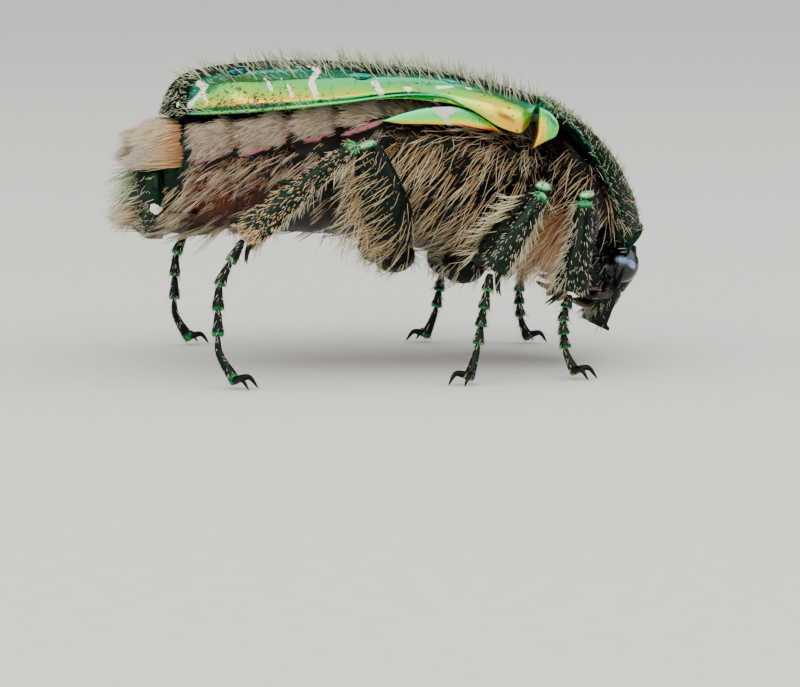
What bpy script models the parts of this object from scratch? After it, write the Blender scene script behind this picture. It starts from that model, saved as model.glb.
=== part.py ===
"""A rose chafer, a broad metallic green beetle, life size and standing on six feet.

Lengths are in millimetres and become metres where a mesh is made. +X is forwards, +Y is
the beetle's left and +Z is up, with the floor at zero. Its front end is bent down, so the
pronotum and the head have frames of their own, pitched about the cross axis.
"""

import math
from collections import namedtuple

import bmesh
import bpy
import numpy as np
from mathutils import Vector

# Scale, clearance and placing
MM = 0.001
GAP = 0.3
THIN = 0.5
SOLVER = "MANIFOLD"  # the exact solver loses pieces a few tenths of a millimetre across
CENTRE = (-0.1, 0.1)
SIDES = {"right": -1, "left": 1}

# Wing cases: height along the suture, then the outer edge seen from the side and from above
ELYTRON_TOP = (
    (-6.22, 7.4), (-5.8, 8.3), (-5.0, 8.7), (-2.1, 8.98), (0.8, 8.73), (2.8, 8.3), (4.55, 7.86),
)
ELYTRON_EDGE_HEIGHT = (
    (-6.22, 7.4), (-4.0, 7.61), (-1.5, 7.87), (0.6, 8.1), (1.35, 8.16),
    (2.2, 7.82), (3.1, 7.15), (3.6, 7.0), (3.95, 7.35),
)
ELYTRON_EDGE_WIDTH = (
    (-6.22, 0.6), (-5.95, 1.9), (-5.3, 3.0), (-4.0, 3.95), (-2.0, 4.4),
    (0.0, 4.42), (1.4, 4.3), (2.7, 4.55), (3.4, 4.5), (3.95, 4.05),
)
ELYTRON_REAR = -6.22
ELYTRON_THICK = THIN
ELYTRON_ARCH = 2.5
ELYTRON_ROWS = 22
ELYTRON_COLUMNS = 12
COSTA_COLUMNS = (4, 7)
COSTA_HEIGHT = 0.09
# Upright bristle tufts on the back: columns of that grid, its rows from and to, and each tuft
BRISTLE_COLUMNS = (1, 3, 5)
BRISTLE_ROWS = (4, 14)
BRISTLE_STAGGER = 0.5
BRISTLE_WIDTH = 0.34
BRISTLE_LENGTH = 0.8
BRISTLE_HEADING = (-0.78, 0.0, 0.6)

# Scutellum: a long triangle between the wing cases
SCUTELLUM_FRONT = 4.55
SCUTELLUM_TIP = 2.75
SCUTELLUM_HALF_WIDTH = 1.35
SCUTELLUM_THICK = 0.55
SCUTELLUM_SHARES = (0, 0.35, 0.7, 0.96)
SCUTELLUM_COLUMNS = 7
SCUTELLUM_DOME = 0.12
SCUTELLUM_INSET = 0.06
SCUTELLUM_BLUNT = 0.02

# Trunk under the wing cases: top, belly, widest level and half width along its length
TRUNK_TOP = (
    (-6.6, 6.3), (-6.2, 6.7), (-5.3, 7.15), (-4.4, 7.55), (-2.1, 8.05),
    (0.8, 7.8), (2.8, 7.4), (4.5, 7.05),
)
TRUNK_BELLY = (
    (-6.6, 4.3), (-5.7, 3.85), (-3.7, 4.0), (-0.8, 3.85), (0.7, 3.6),
    (1.8, 3.3), (2.7, 3.15), (3.6, 3.5), (4.5, 4.3),
)
TRUNK_MIDDLE = ((-6.6, 5.4), (-5.2, 6.2), (-3.0, 6.6), (0.0, 6.7), (2.0, 6.4), (4.5, 5.9))
TRUNK_HALF_WIDTH = (
    (-6.6, 2.1), (-5.7, 2.8), (-5.0, 3.3), (-4.0, 3.8), (-2.0, 4.1),
    (0.0, 4.1), (2.5, 4.0), (3.6, 3.85), (4.5, 3.35),
)
ABDOMEN_ROOF = 3.6
THORAX_ROOF = 2.3
BELLY_ROUND = 2.1
TRUNK_SIDES = 28
THORAX_SPAN = (0.2, 4.3)
THORAX_RINGS = 8
THORAX_FRONT = (4.3, 0.0, 6.7)
SEGMENT_EDGES = (-0.1, -1.35, -2.75, -4.2, -5.3)
SEGMENT_STEP = 0.13
TAIL_SPAN = (-6.25, -5.6)
TAIL_SPLIT = (4.55, 4.85)
CUTTER_RINGS = 24

# Knob between the middle legs
KNOB_CENTRE = (3.4, 0.0, 3.25)
KNOB_RADIUS = 0.55
KNOB_SIDES = 10
POLE = 0.15  # turn at which a rounded solid's end is closed by a flat fan

# Last plate of the back, which faces backwards
PYGIDIUM_RIM = (-6.55, 0.0, 5.2)
PYGIDIUM_DEPTH = 0.62
PYGIDIUM_SIZE = (2.45, 1.15, 1.4)
PYGIDIUM_POWERS = (2.8, 1.7)
PYGIDIUM_SIDES = 22
PYGIDIUM_BACK = (0.1, 0.9)

# Side plates of the thorax
MESEPIMERON = ((4.3, 7.6), (4.64, 7.52), (4.66, 7.05), (4.5, 6.6), (4.3, 6.75))
METEPISTERNUM = (
    (-0.1, 7.62), (1.25, 7.86), (2.15, 7.5), (3.05, 6.82),
    (3.6, 6.66), (3.3, 6.25), (2.2, 6.7), (1.0, 7.1),
)
SIDE_PLATE_REACH = {"mesepimeron": (3.75, 4.38), "metepisternum": (3.4, 4.38)}
SIDE_PLATE_BEVEL = (0.12, 0.9)

# Prothorax frame: where its back edge meets the wing cases, and how far it nods
PROTHORAX_BASE = (4.8, 0.0, 7.87)
PROTHORAX_PITCH = math.radians(51)
PRONOTUM_LENGTH = 4.95
PRONOTUM_HALF_WIDTH = (
    (0.0, 2.9), (0.12, 3.5), (0.3, 3.95), (0.55, 3.65), (0.8, 2.75), (1.0, 1.95),
)
PRONOTUM_CREST = ((0.0, 0.0), (0.25, 0.42), (0.5, 0.56), (0.75, 0.42), (1.0, 0.0))
PRONOTUM_DROP = ((0.0, 0.3), (0.3, 0.62), (0.6, 0.95), (1.0, 1.05))
PRONOTUM_ARCH = 2.2
PRONOTUM_ROWS = 12
PRONOTUM_COLUMNS = 20
PRONOTUM_START = 0.15
PRONOTUM_BOW = 0.22

# Underside of the prothorax
PROSTERNUM_SPAN = (0.8, 4.0)
PROSTERNUM_DEPTH = ((0.0, 2.6), (0.5, 2.5), (1.0, 1.5))
PROSTERNUM_SLANT = (math.radians(40), math.radians(-8))
PROSTERNUM_RINGS = 8
PROSTERNUM_SIDES = 22

# Head frame, then the head's half width, brow and throat along its length
HEAD_BASE = (7.22, 0.0, 3.67)
HEAD_PITCH = math.radians(115)
HEAD_LENGTH = 2.6
HEAD_HALF_WIDTH = (
    (0.0, 1.05), (0.15, 1.25), (0.3, 1.3), (0.48, 1.1), (0.7, 1.02), (0.95, 1.02), (1.0, 0.9),
)
HEAD_BROW = ((0.0, 0.62), (0.3, 0.92), (0.6, 0.82), (0.93, 0.72), (1.0, 0.78))
HEAD_THROAT = ((0.0, -0.6), (0.3, -0.62), (0.7, -0.25), (0.88, 0.1), (1.0, 0.2))
HEAD_RINGS = 10
HEAD_SIDES = 20
CLYPEUS_RIM = 0.16
CLYPEUS_SPAN = (0.6, 0.96)
CLYPEUS_HALF_WIDTH = (0.9, 0.78)
CLYPEUS_SEAT = 0.04
EYE_PLACE = (0.68, 1.22, 0.28)
EYE_SIZE = (0.52, 0.42, 0.5)
ANTENNA_ROOT = (1.6, 1.36, 0.2)
ANTENNA_ELBOW = (1.72, 1.75, 0.02)
ANTENNA_CLUB_BASE = (1.8, 2.2, -0.35)
ANTENNA_TIP = (2.0, 3.0, -0.95)
ANTENNA_STEM_WIDTHS = (0.2, 0.26, 0.24, 0.22, 0.22, 0.25)
LEAF_WIDTHS = (0.15, 0.3, 0.36, 0.32, 0.12)
LEAF_FLATNESS = 0.42
LEAF_OFFSETS = (-0.24, 0.0, 0.24)
LEAF_OVERLAP = 0.1
PALP_ROOT = (1.7, 0.5, -0.72)
PALP_TIP = (2.4, 0.85, -0.95)
PALP_WIDTHS = (0.2, 0.26, 0.26, 0.14)

# Legs, each point as forwards, outwards, up
Leg = namedtuple("Leg", "coxa femur tibia tarsus coxa_width femur_width tibia_width far_shift")
LEGS = {
    "front": Leg(
        coxa=((5.06, 0.95, 4.12), (5.42, 2.05, 3.22)),
        femur=((5.5, 2.45, 3.3), (5.55, 3.6, 4.15), (5.48, 4.55, 5.25)),
        tibia=((5.38, 4.85, 4.9), (5.25, 4.75, 3.8), (5.02, 4.6, 2.6)),
        tarsus=((4.96, 4.6, 2.15), (4.82, 4.6, 1.6), (4.88, 4.65, 0.85), (5.15, 4.85, 0.16)),
        coxa_width=0.68, femur_width=0.52, tibia_width=0.5, far_shift=(0.35, 0.15),
    ),
    "middle": Leg(
        coxa=((2.3, 0.8, 2.85), (2.6, 2.3, 3.0)),
        femur=((2.75, 2.65, 3.15), (3.55, 4.1, 4.4), (4.2, 5.15, 5.55)),
        tibia=((4.0, 5.45, 5.1), (3.4, 5.5, 4.25), (2.62, 5.5, 3.25)),
        tarsus=((2.5, 5.5, 2.8), (2.36, 5.5, 1.95), (2.2, 5.55, 1.0), (1.92, 5.8, 0.16)),
        coxa_width=0.62, femur_width=0.6, tibia_width=0.42, far_shift=(0.5, 0.1),
    ),
    "hind": Leg(
        coxa=((0.4, 0.8, 3.1), (0.35, 2.9, 3.35)),
        femur=((0.3, 3.3, 3.55), (-0.3, 4.45, 5.1), (-0.85, 4.95, 6.75)),
        tibia=((-1.25, 5.15, 6.62), (-2.7, 5.3, 5.5), (-4.3, 5.4, 4.25)),
        tarsus=((-4.5, 5.42, 3.82), (-5.05, 5.5, 2.6), (-5.08, 5.6, 1.2), (-4.6, 5.9, 0.16)),
        coxa_width=0.6, femur_width=0.72, tibia_width=0.46, far_shift=(-0.3, 0.2),
    ),
}
LEG_SIDES = 8
LIMB_STATIONS = np.array([0, 0.05, 0.18, 0.4, 0.62, 0.84, 0.95, 1])
COXA_SIDES = 10
COXA_FLATNESS = 0.85
FEMUR_FLATNESS = 0.66
TIBIA_FLATNESS = 0.68
# Share along the limb and portion of its full width there
COXA_PROFILE = ((0, 0.75), (0.4, 1), (1, 0.62))
FEMUR_PROFILE = ((0, 0.3), (0.05, 0.52), (0.4, 1), (0.84, 0.7), (0.95, 0.5), (1, 0.26))
TIBIA_PROFILE = ((0, 0.3), (0.05, 0.55), (0.15, 0.68), (0.5, 0.76), (0.96, 1), (1, 0.75))
TARSUS_JOINTS = 5
TARSUS_WIDTH = 0.26
TARSUS_WAIST = 0.2
LAST_JOINT_SHARE = 0.34
JOINT_STATIONS = (0.04, 0.55, 0.9)
TARSUS_SIDES = 6
CLAW_LENGTH = 0.75
CLAW_SPREAD = 0.3
CLAW_SEAT = 0.05
CLAW_BEND = 0.45
CLAW_REACH = (0.85, 1.3)
CLAW_ARCH = 0.12
CLAW_WIDTHS = (0.17, 0.15, 0.12, 0.09, 0.05)
TOOTH_SHARES = {"front": (0.45, 0.7, 0.95), "middle": (0.52, 0.94), "hind": (0.52, 0.94)}
TOOTH_SEAT = 0.35
TOOTH_LENGTHS = (0.3, 0.25)  # at the knee, and how much more at the shin's end
TOOTH_RADIUS = 0.2
TOOTH_LEAN = 0.25
SPUR_SEAT = 0.45
SPUR_OFFSETS = (-0.12, 0.14)
SPUR_LENGTH = 0.5
SPUR_RADIUS = 0.14
SPUR_SPLAY = 0.45

# Coat, as flat tapered locks: each lock's half width and thickness at its widest
LOCK_WIDTH = 0.36
LOCK_FLATNESS = 0.62
LOCK_SINK = 0.3
LOCK_RISE = 0.16
LOCK_SWAY = 0.12
LOCK_STATIONS = (0.0, 0.3, 0.62, 1.0)
LOCK_TAPER = (0.8, 1.0, 0.7, 0.1)
LOCK_SEED = 11
# Rows on the trunk: places along it, turn down from the widest level, length and heading
THORAX_ROWS = (
    ((1.7, 2.3, 2.9, 3.5), -0.12, 1.1, (-0.6, 0.2, -0.7)),
    ((1.85, 2.45, 3.05), -0.34, 0.85, (-0.6, 0.15, -0.7)),
    ((1.7, 2.1), -0.58, 0.75, (-0.6, 0.15, -0.6)),
)
TAIL_ROWS = (
    ((-5.85,), 1.12, 1.25, (-1.0, 0.1, -0.12)),
    ((-5.85,), 0.8, 1.45, (-1.0, 0.2, -0.2)),
    ((-5.85,), 0.5, 1.55, (-1.0, 0.3, -0.25)),
    ((-5.8,), 0.22, 1.5, (-1.0, 0.35, -0.35)),
    ((-5.8,), -0.05, 1.35, (-1.0, 0.35, -0.45)),
)
# Locks of the last plate: height over its middle and reach to each side
PYGIDIUM_LOCKS = ((0.62, 0.55), (0.5, 1.5), (-0.1, 1.05), (-0.55, 0.4), (-0.75, 1.0))
PYGIDIUM_LOCK_DEPTH = -0.35
PYGIDIUM_LOCK_LENGTH = 1.0
# Fringes on the limbs: shares along the limb, lock length and heading
FRINGES = {
    "front_femur": ((0.3, 0.45, 0.6, 0.75), 1.55, (-0.65, -0.1, -0.75)),
    "middle_femur": ((0.3, 0.44, 0.58, 0.72), 1.3, (-0.85, 0.15, -0.5)),
    "hind_femur": ((0.3, 0.45, 0.6, 0.75), 1.35, (-0.75, 0.1, -0.65)),
    "hind_tibia": ((0.3, 0.45, 0.6, 0.75), 0.8, (-0.3, 0.0, -0.95)),
}

# Finish of each kind of piece: colour, roughness, metallic
FINISHES = {
    "elytron": ((0.05, 0.32, 0.1), 0.25, 0.9),
    "scutellum": ((0.03, 0.2, 0.08), 0.3, 0.9),
    "pronotum": ((0.02, 0.1, 0.05), 0.4, 0.8),
    "head": ((0.012, 0.05, 0.03), 0.45, 0.7),
    "side_plate": ((0.35, 0.4, 0.08), 0.3, 0.9),
    "underside": ((0.04, 0.045, 0.02), 0.4, 0.6),
    "abdomen": ((0.16, 0.09, 0.05), 0.45, 0.4),
    "pygidium": ((0.03, 0.12, 0.06), 0.5, 0.7),
    "eye": ((0.05, 0.06, 0.08), 0.15, 0.0),
    "leg": ((0.02, 0.06, 0.03), 0.3, 0.8),
    "antenna": ((0.02, 0.015, 0.012), 0.35, 0.2),
}


def clear_scene():
    """Removes whatever the scene holds."""
    for obj in list(bpy.data.objects):
        bpy.data.objects.remove(obj)


def finish(kind, name):
    """A material of this kind for one piece."""
    colour, roughness, metallic = FINISHES[kind]
    material = bpy.data.materials.new(name)
    material.use_nodes = True
    shader = material.node_tree.nodes["Principled BSDF"]
    shader.inputs["Base Color"].default_value = (*colour, 1)
    shader.inputs["Roughness"].default_value = roughness
    shader.inputs["Metallic"].default_value = metallic
    return material


def curve(knots, at):
    """A smooth line through the knots that never overshoots them, read at these places."""
    x, y = np.array(knots, float).T
    width = np.diff(x)
    slope = np.diff(y) / width
    tangent = np.concatenate([slope[:1], np.zeros(len(x) - 2), slope[-1:]])
    same_way = slope[:-1] * slope[1:] > 0
    left = (2 * width[1:] + width[:-1])[same_way]
    right = (width[1:] + 2 * width[:-1])[same_way]
    mean = (left + right) / (left / slope[:-1][same_way] + right / slope[1:][same_way])
    tangent[1:-1][same_way] = mean
    at = np.clip(at, x[0], x[-1])
    i = np.clip(np.searchsorted(x, at) - 1, 0, len(width) - 1)
    t = (at - x[i]) / width[i]
    rise = y[i] * (1 + 2 * t) * (1 - t) ** 2 + y[i + 1] * t * t * (3 - 2 * t)
    return rise + width[i] * t * (1 - t) * (tangent[i] * (1 - t) - tangent[i + 1] * t)


def along(points, shares):
    """Points at these shares of a smooth path through the given ones."""
    points = np.array(points, float)
    steps = np.linalg.norm(np.diff(points, axis=0), axis=1)
    reach = np.concatenate([[0], np.cumsum(steps)]) / steps.sum()
    return np.stack([curve(np.stack([reach, p], axis=1), shares) for p in points.T], axis=1)


def oval(sides, half_width, rise, drop, power_up, power_down):
    """Closed outline of across and up values: one superellipse above, another below."""
    angle = np.arange(sides) * 2 * math.pi / sides
    cos, sin = np.cos(angle), np.sin(angle)
    power = np.where(sin >= 0, power_up, power_down)
    across = half_width * np.sign(cos) * np.abs(cos) ** (2 / power)
    height = np.where(sin >= 0, rise, drop)
    return across, height * np.sign(sin) * np.abs(sin) ** (2 / power)


def loft(rings):
    """Vertices and faces of a solid through the rings, closed by a fan at each end."""
    rings = [np.asarray(ring, float) for ring in rings]
    sides = len(rings[0])
    middles = [rings[0].mean(axis=0), rings[-1].mean(axis=0)]
    vertices = np.concatenate([*rings, middles])
    faces = []
    for row in range(len(rings) - 1):
        for k in range(sides):
            a, b = row * sides + k, row * sides + (k + 1) % sides
            faces.append((a, b, b + sides, a + sides))
    first, last = len(vertices) - 2, len(vertices) - 1
    final = (len(rings) - 1) * sides
    for k in range(sides):
        faces.append((first, (k + 1) % sides, k))
        faces.append((last, final + k, final + (k + 1) % sides))
    return vertices, faces


def shell(outer, inner):
    """A curved plate between two grids of points, with a rim round all four edges."""
    rows, columns, _ = outer.shape
    vertices = np.concatenate([outer.reshape(-1, 3), inner.reshape(-1, 3)])
    back = rows * columns
    faces = []
    for i in range(rows - 1):
        for j in range(columns - 1):
            a = i * columns + j
            quad = (a, a + 1, a + 1 + columns, a + columns)
            faces.extend([quad[:3], (quad[0], quad[2], quad[3])])
            under = [back + v for v in quad]
            faces.extend([(under[2], under[1], under[0]), (under[3], under[2], under[0])])
    rim = list(range(columns))
    rim += [i * columns + columns - 1 for i in range(1, rows)]
    rim += [(rows - 1) * columns + j for j in range(columns - 2, -1, -1)]
    rim += [i * columns for i in range(rows - 2, 0, -1)]
    for a, b in zip(rim, rim[1:] + rim[:1]):
        faces.append((a, back + a, back + b, b))
    return vertices, faces


def tube(path, widths, flatness, sides, wide_way):
    """A limb along the path. widths are half widths at its points, across wide_way."""
    path = np.asarray(path, float)
    rings = []
    for centre, tangent, width in zip(path, np.gradient(path, axis=0), widths):
        tangent = Vector(tangent).normalized()
        wide = Vector(wide_way)
        wide = (wide - tangent * wide.dot(tangent)).normalized()
        thick = tangent.cross(wide)
        across, up = oval(sides, width, width * flatness, width * flatness, 2, 2)
        rings.append(centre + np.outer(across, wide) + np.outer(up, thick))
    return loft(rings)


def cone(root, tip, radius, sides=4):
    """A spike from root to tip."""
    root, tip = np.array(root, float), np.array(tip, float)
    axis = Vector(tip - root).normalized()
    side = axis.orthogonal().normalized()
    other = axis.cross(side)
    angle = np.arange(sides) * 2 * math.pi / sides
    ring = root + radius * (np.outer(np.cos(angle), side) + np.outer(np.sin(angle), other))
    vertices = np.concatenate([ring, [tip, root]])
    faces = [(k, (k + 1) % sides, sides) for k in range(sides)]
    faces += [((k + 1) % sides, k, sides + 1) for k in range(sides)]
    return vertices, faces


def lock(spot, outwards, heading, wide_way, length, draw, width=LOCK_WIDTH):
    """A flat tapered lock of hair that leaves the skin and bends over along its lie."""
    outwards, lie = Vector(outwards).normalized(), Vector(heading).normalized()
    length *= draw.uniform(0.88, 1.1)
    sway = np.array(Vector(wide_way).normalized()) * draw.uniform(-LOCK_SWAY, LOCK_SWAY)
    t = np.array(LOCK_STATIONS)
    rise = LOCK_RISE * np.sin(t * math.pi * 0.6)
    path = np.array(spot, float) - np.outer(LOCK_SINK * (1 - t) ** 2, outwards)
    path = path + length * (np.outer(t, lie) + np.outer(rise, outwards) + np.outer(t**2, sway))
    return tube(path, width * np.array(LOCK_TAPER), LOCK_FLATNESS, 4, wide_way)


def add(name, shape, parent=None, material=None, origin=(0, 0, 0)):
    """An object from vertices and faces in millimetres, with its own origin."""
    vertices, faces = shape
    mesh = bpy.data.meshes.new(name)
    points = (np.asarray(vertices) - np.array(origin)) * MM
    mesh.from_pydata(points.tolist(), [], [list(face) for face in faces])
    face_outwards(mesh)
    obj = bpy.data.objects.new(name, mesh)
    bpy.context.scene.collection.objects.link(obj)
    obj.location = Vector(origin) * MM
    obj.parent = parent
    if material:
        dress(obj, material)
    return obj


def face_outwards(mesh):
    """Turns every face of a closed mesh outwards."""
    work = bmesh.new()
    work.from_mesh(mesh)
    bmesh.ops.recalc_face_normals(work, faces=work.faces)
    if work.calc_volume(signed=True) < 0:
        bmesh.ops.reverse_faces(work, faces=work.faces)
    work.to_mesh(mesh)
    work.free()


def dress(obj, material):
    """Gives the piece its own material of this kind and smooth shading."""
    obj.data.materials.clear()
    obj.data.materials.append(finish(material, obj.name))
    obj.data.shade_smooth()
    obj.data.set_sharp_from_angle(angle=math.radians(40))


def hide(obj):
    """Marks a cutter or a piece that a union uses up."""
    obj.hide_render = True
    obj.display_type = "WIRE"
    return obj


def keep_largest(mesh):
    """Deletes every closed surface of the mesh but the largest."""
    work = bmesh.new()
    work.from_mesh(mesh)
    left = set(work.verts)
    surfaces = []
    while left:
        found, edge = set(), [left.pop()]
        while edge:
            vertex = edge.pop()
            found.add(vertex)
            near = {e.other_vert(vertex) for e in vertex.link_edges} & left
            left -= near
            edge.extend(near)
        surfaces.append(found)
    sizes = [sum(face.calc_area() for v in s for face in v.link_faces) for s in surfaces]
    keep = surfaces[int(np.argmax(sizes))]
    bmesh.ops.delete(work, geom=[v for v in work.verts if v not in keep], context="VERTS")
    work.to_mesh(mesh)
    work.free()


def apply_modifiers(obj):
    """Makes the evaluated mesh the object's own."""
    bpy.context.view_layer.update()
    graph = bpy.context.evaluated_depsgraph_get()
    mesh = bpy.data.meshes.new_from_object(obj.evaluated_get(graph))
    obj.modifiers.clear()
    obj.data = mesh


def boolean(obj, others, operation):
    """One Boolean of the object with all the others, which are then removed."""
    helpers = bpy.data.collections.new("helpers")
    bpy.context.scene.collection.children.link(helpers)
    for other in others:
        hide(other)
        for holder in list(other.users_collection):
            holder.objects.unlink(other)
        helpers.objects.link(other)
    modifier = obj.modifiers.new("join", "BOOLEAN")
    modifier.operation = operation
    modifier.operand_type = "COLLECTION"
    modifier.collection = helpers
    modifier.solver = SOLVER
    apply_modifiers(obj)
    keep_largest(obj.data)
    for other in others:
        bpy.data.objects.remove(other)
    bpy.data.collections.remove(helpers)


def slice_off(obj, point, normal):
    """Cuts away what lies past a plane, given in the object's parent frame, and closes it."""
    work = bmesh.new()
    work.from_mesh(obj.data)
    place = Vector(point) * MM - obj.location
    geometry = work.verts[:] + work.edges[:] + work.faces[:]
    cut = bmesh.ops.bisect_plane(
        work, geom=geometry, plane_co=place, plane_no=normal, clear_outer=True, dist=1e-8
    )
    edges = [e for e in cut["geom_cut"] if isinstance(e, bmesh.types.BMEdge)]
    bmesh.ops.holes_fill(work, edges=edges)
    bmesh.ops.triangulate(work, faces=[face for face in work.faces if len(face.verts) > 4])
    bmesh.ops.recalc_face_normals(work, faces=work.faces)
    work.to_mesh(obj.data)
    work.free()


def frame_empty(name, parent, base, pitch):
    """An empty whose +X points forwards and down by the pitch."""
    empty = bpy.data.objects.new(name, None)
    bpy.context.scene.collection.objects.link(empty)
    empty.parent = parent
    empty.location = Vector(base) * MM
    empty.rotation_euler = (0, pitch, 0)
    return empty


def elytron_surface(inset):
    """Grid of points of a wing case, from its front edge back and from suture to edge.

    Across, each row is a quarter of a superellipse from the suture down to the outer edge.
    inset moves the surface inwards to make the inner face.
    """
    share = np.linspace(0, 1, ELYTRON_ROWS)
    share = 0.55 * share + 0.45 * np.sin(share * math.pi / 2)
    rear = ELYTRON_REAR + inset
    inner_x = SCUTELLUM_FRONT + (rear - SCUTELLUM_FRONT) * share
    front = ELYTRON_EDGE_WIDTH[-1][0]
    outer_x = front + (rear - front) * share
    read_x = front + (ELYTRON_REAR - front) * share
    top = curve(ELYTRON_TOP, SCUTELLUM_FRONT + (ELYTRON_REAR - SCUTELLUM_FRONT) * share)
    edge = curve(ELYTRON_EDGE_HEIGHT, read_x)
    top = np.maximum(top - inset, edge)
    width = np.maximum(curve(ELYTRON_EDGE_WIDTH, read_x) - inset, 0.25)
    taper = np.clip((inner_x - SCUTELLUM_TIP) / (SCUTELLUM_FRONT - SCUTELLUM_TIP), 0, 1)
    seam = GAP / 2 + (SCUTELLUM_HALF_WIDTH + GAP / 2) * taper
    turn = np.linspace(0, math.pi / 2, ELYTRON_COLUMNS)
    out = np.sin(turn) ** (2 / ELYTRON_ARCH)
    up = np.cos(turn) ** (2 / ELYTRON_ARCH)
    x = inner_x[:, None] + (outer_x - inner_x)[:, None] * out**3
    y = seam[:, None] + (width - seam)[:, None] * out
    z = edge[:, None] + (top - edge)[:, None] * up
    if not inset:
        ridge = COSTA_HEIGHT * np.sin(math.pi * np.clip(share * 1.15 - 0.1, 0, 1))
        z[:, list(COSTA_COLUMNS)] += ridge[:, None]
    return np.stack([x, y, z], axis=2)


def bristles(grid, side, root):
    """Tufts that stand on a wing case and lean back over one another, in staggered rows."""
    draw = np.random.default_rng(LOCK_SEED)
    lie = np.array(BRISTLE_HEADING)
    tufts = []
    for k, column in enumerate(BRISTLE_COLUMNS):
        for row in range(*BRISTLE_ROWS):
            back = grid[row + 1, column] - grid[row, column]
            spot = grid[row, column] + back * BRISTLE_STAGGER * (k % 2)
            outwards = np.cross(-back, side * (grid[row, column + 1] - grid[row, column - 1]))
            shape = lock(spot, outwards, lie, (0, 1, 0), BRISTLE_LENGTH, draw, BRISTLE_WIDTH)
            tufts.append(add("tuft", shape, root))
    return tufts


def add_elytra(root):
    """Both wing cases, each a curved plate with two low ribs and bristles on its back."""
    for name, side in SIDES.items():
        mirror = np.array([1, side, 1])
        outer, inner = elytron_surface(0) * mirror, elytron_surface(ELYTRON_THICK) * mirror
        case = add(f"elytron_{name}", shell(outer, inner), root)
        boolean(case, bristles(outer, side, root), "UNION")
        dress(case, "elytron")


def add_scutellum(root):
    """A triangular plate, slightly domed, with its tip backwards."""
    share = np.array(SCUTELLUM_SHARES)
    x = SCUTELLUM_FRONT + (SCUTELLUM_TIP - SCUTELLUM_FRONT) * share
    half = (SCUTELLUM_HALF_WIDTH - SCUTELLUM_INSET) * (1 - share) + SCUTELLUM_BLUNT
    across = np.linspace(-1, 1, SCUTELLUM_COLUMNS)
    top = curve(ELYTRON_TOP, x)[:, None] - SCUTELLUM_DOME * across**2
    grid = np.stack([x[:, None] + 0 * across, half[:, None] * across, top], axis=2)
    add("scutellum", shell(grid, grid - [0, 0, SCUTELLUM_THICK]), root, "scutellum")


def trunk_ring(x, grow=0.0, roof=ABDOMEN_ROOF):
    """Outline of the trunk at x, grown outwards all round."""
    middle = float(curve(TRUNK_MIDDLE, x))
    rise = float(curve(TRUNK_TOP, x)) - middle + grow
    drop = middle - float(curve(TRUNK_BELLY, x)) + grow
    half = float(curve(TRUNK_HALF_WIDTH, x)) + grow
    across, up = oval(TRUNK_SIDES, half, rise, drop, roof, BELLY_ROUND)
    return np.stack([np.full(TRUNK_SIDES, x), across, middle + up], axis=1)


def trunk_spot(x, turn, side, roof):
    """A point of the trunk's skin and the way out from it there."""
    def skin(x, turn):
        middle = float(curve(TRUNK_MIDDLE, x))
        half = float(curve(TRUNK_HALF_WIDTH, x))
        reach = float(curve(TRUNK_TOP if turn > 0 else TRUNK_BELLY, x)) - middle
        power = roof if turn > 0 else BELLY_ROUND
        across = half * math.cos(turn) ** (2 / power)
        return np.array([x, across, middle + abs(math.sin(turn)) ** (2 / power) * reach])

    spot = skin(x, turn)
    outwards = np.cross(skin(x, turn + 0.01) - spot, skin(x - 0.01, turn) - spot)
    outwards = outwards * np.sign(outwards[1])
    return spot * [1, side, 1], outwards * [1, side, 1]


def coat(obj, rows, roof, root):
    """Joins rows of locks to a piece of the trunk, on both sides."""
    draw = np.random.default_rng(LOCK_SEED)
    locks = []
    for places, turn, length, heading in rows:
        for x in places:
            for side in SIDES.values():
                spot, outwards = trunk_spot(x, turn + draw.uniform(-0.05, 0.05), side, roof)
                lie = np.array(heading) * [1, side, 1]
                shape = lock(spot, outwards, lie, np.cross(outwards, lie), length, draw)
                locks.append(add("lock", shape, root))
    boolean(obj, locks, "UNION")


def fringe(obj, name, limb, side, root):
    """Joins a comb of locks to a limb, flat along it and side by side."""
    shares, length, heading = FRINGES[name]
    draw = np.random.default_rng(LOCK_SEED)
    lie = np.array(heading) * [1, side, 1]
    locks = []
    for spot in along(limb, np.array(shares)):
        locks.append(add("lock", lock(spot, lie, lie, limb[-1] - limb[0], length, draw), root))
    boolean(obj, locks, "UNION")


def trunk_cutter(root):
    """The whole trunk, swollen by the gap, to cut neighbours clear of it."""
    rings = []
    for x in np.linspace(TAIL_SPAN[0] - GAP, THORAX_SPAN[1] + GAP, CUTTER_RINGS):
        rings.append(trunk_ring(x, GAP, THORAX_ROOF if x > THORAX_SPAN[0] else ABDOMEN_ROOF))
    return hide(add("trunk_cutter", loft(rings), root))


def add_thorax(root):
    """Middle and hind thorax in one, with the knob between the middle legs."""
    places = np.linspace(THORAX_SPAN[0], THORAX_SPAN[1], THORAX_RINGS)
    thorax = add("thorax", loft([trunk_ring(x, roof=THORAX_ROOF) for x in places]), root)
    knob = ellipsoid(KNOB_CENTRE, [KNOB_RADIUS] * 3, 6, KNOB_SIDES)
    boolean(thorax, [add("knob", knob, root)], "UNION")
    lean = PROTHORAX_PITCH - PROSTERNUM_SLANT[0]
    slice_off(thorax, THORAX_FRONT, (math.cos(lean), 0, -math.sin(lean)))
    coat(thorax, THORAX_ROWS, THORAX_ROOF, root)
    dress(thorax, "underside")


def add_abdomen(root):
    """Belly segments, each a little proud of the next at its hind edge."""
    rings = []
    for front, back in zip(SEGMENT_EDGES, SEGMENT_EDGES[1:]):
        rings.append(trunk_ring(front, -SEGMENT_STEP))
        rings.append(trunk_ring(front + (back - front) * 0.6, -SEGMENT_STEP * 0.3))
        rings.append(trunk_ring(back + 0.12, 0.0))
    add("abdomen", loft(rings), root, "abdomen")


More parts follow.
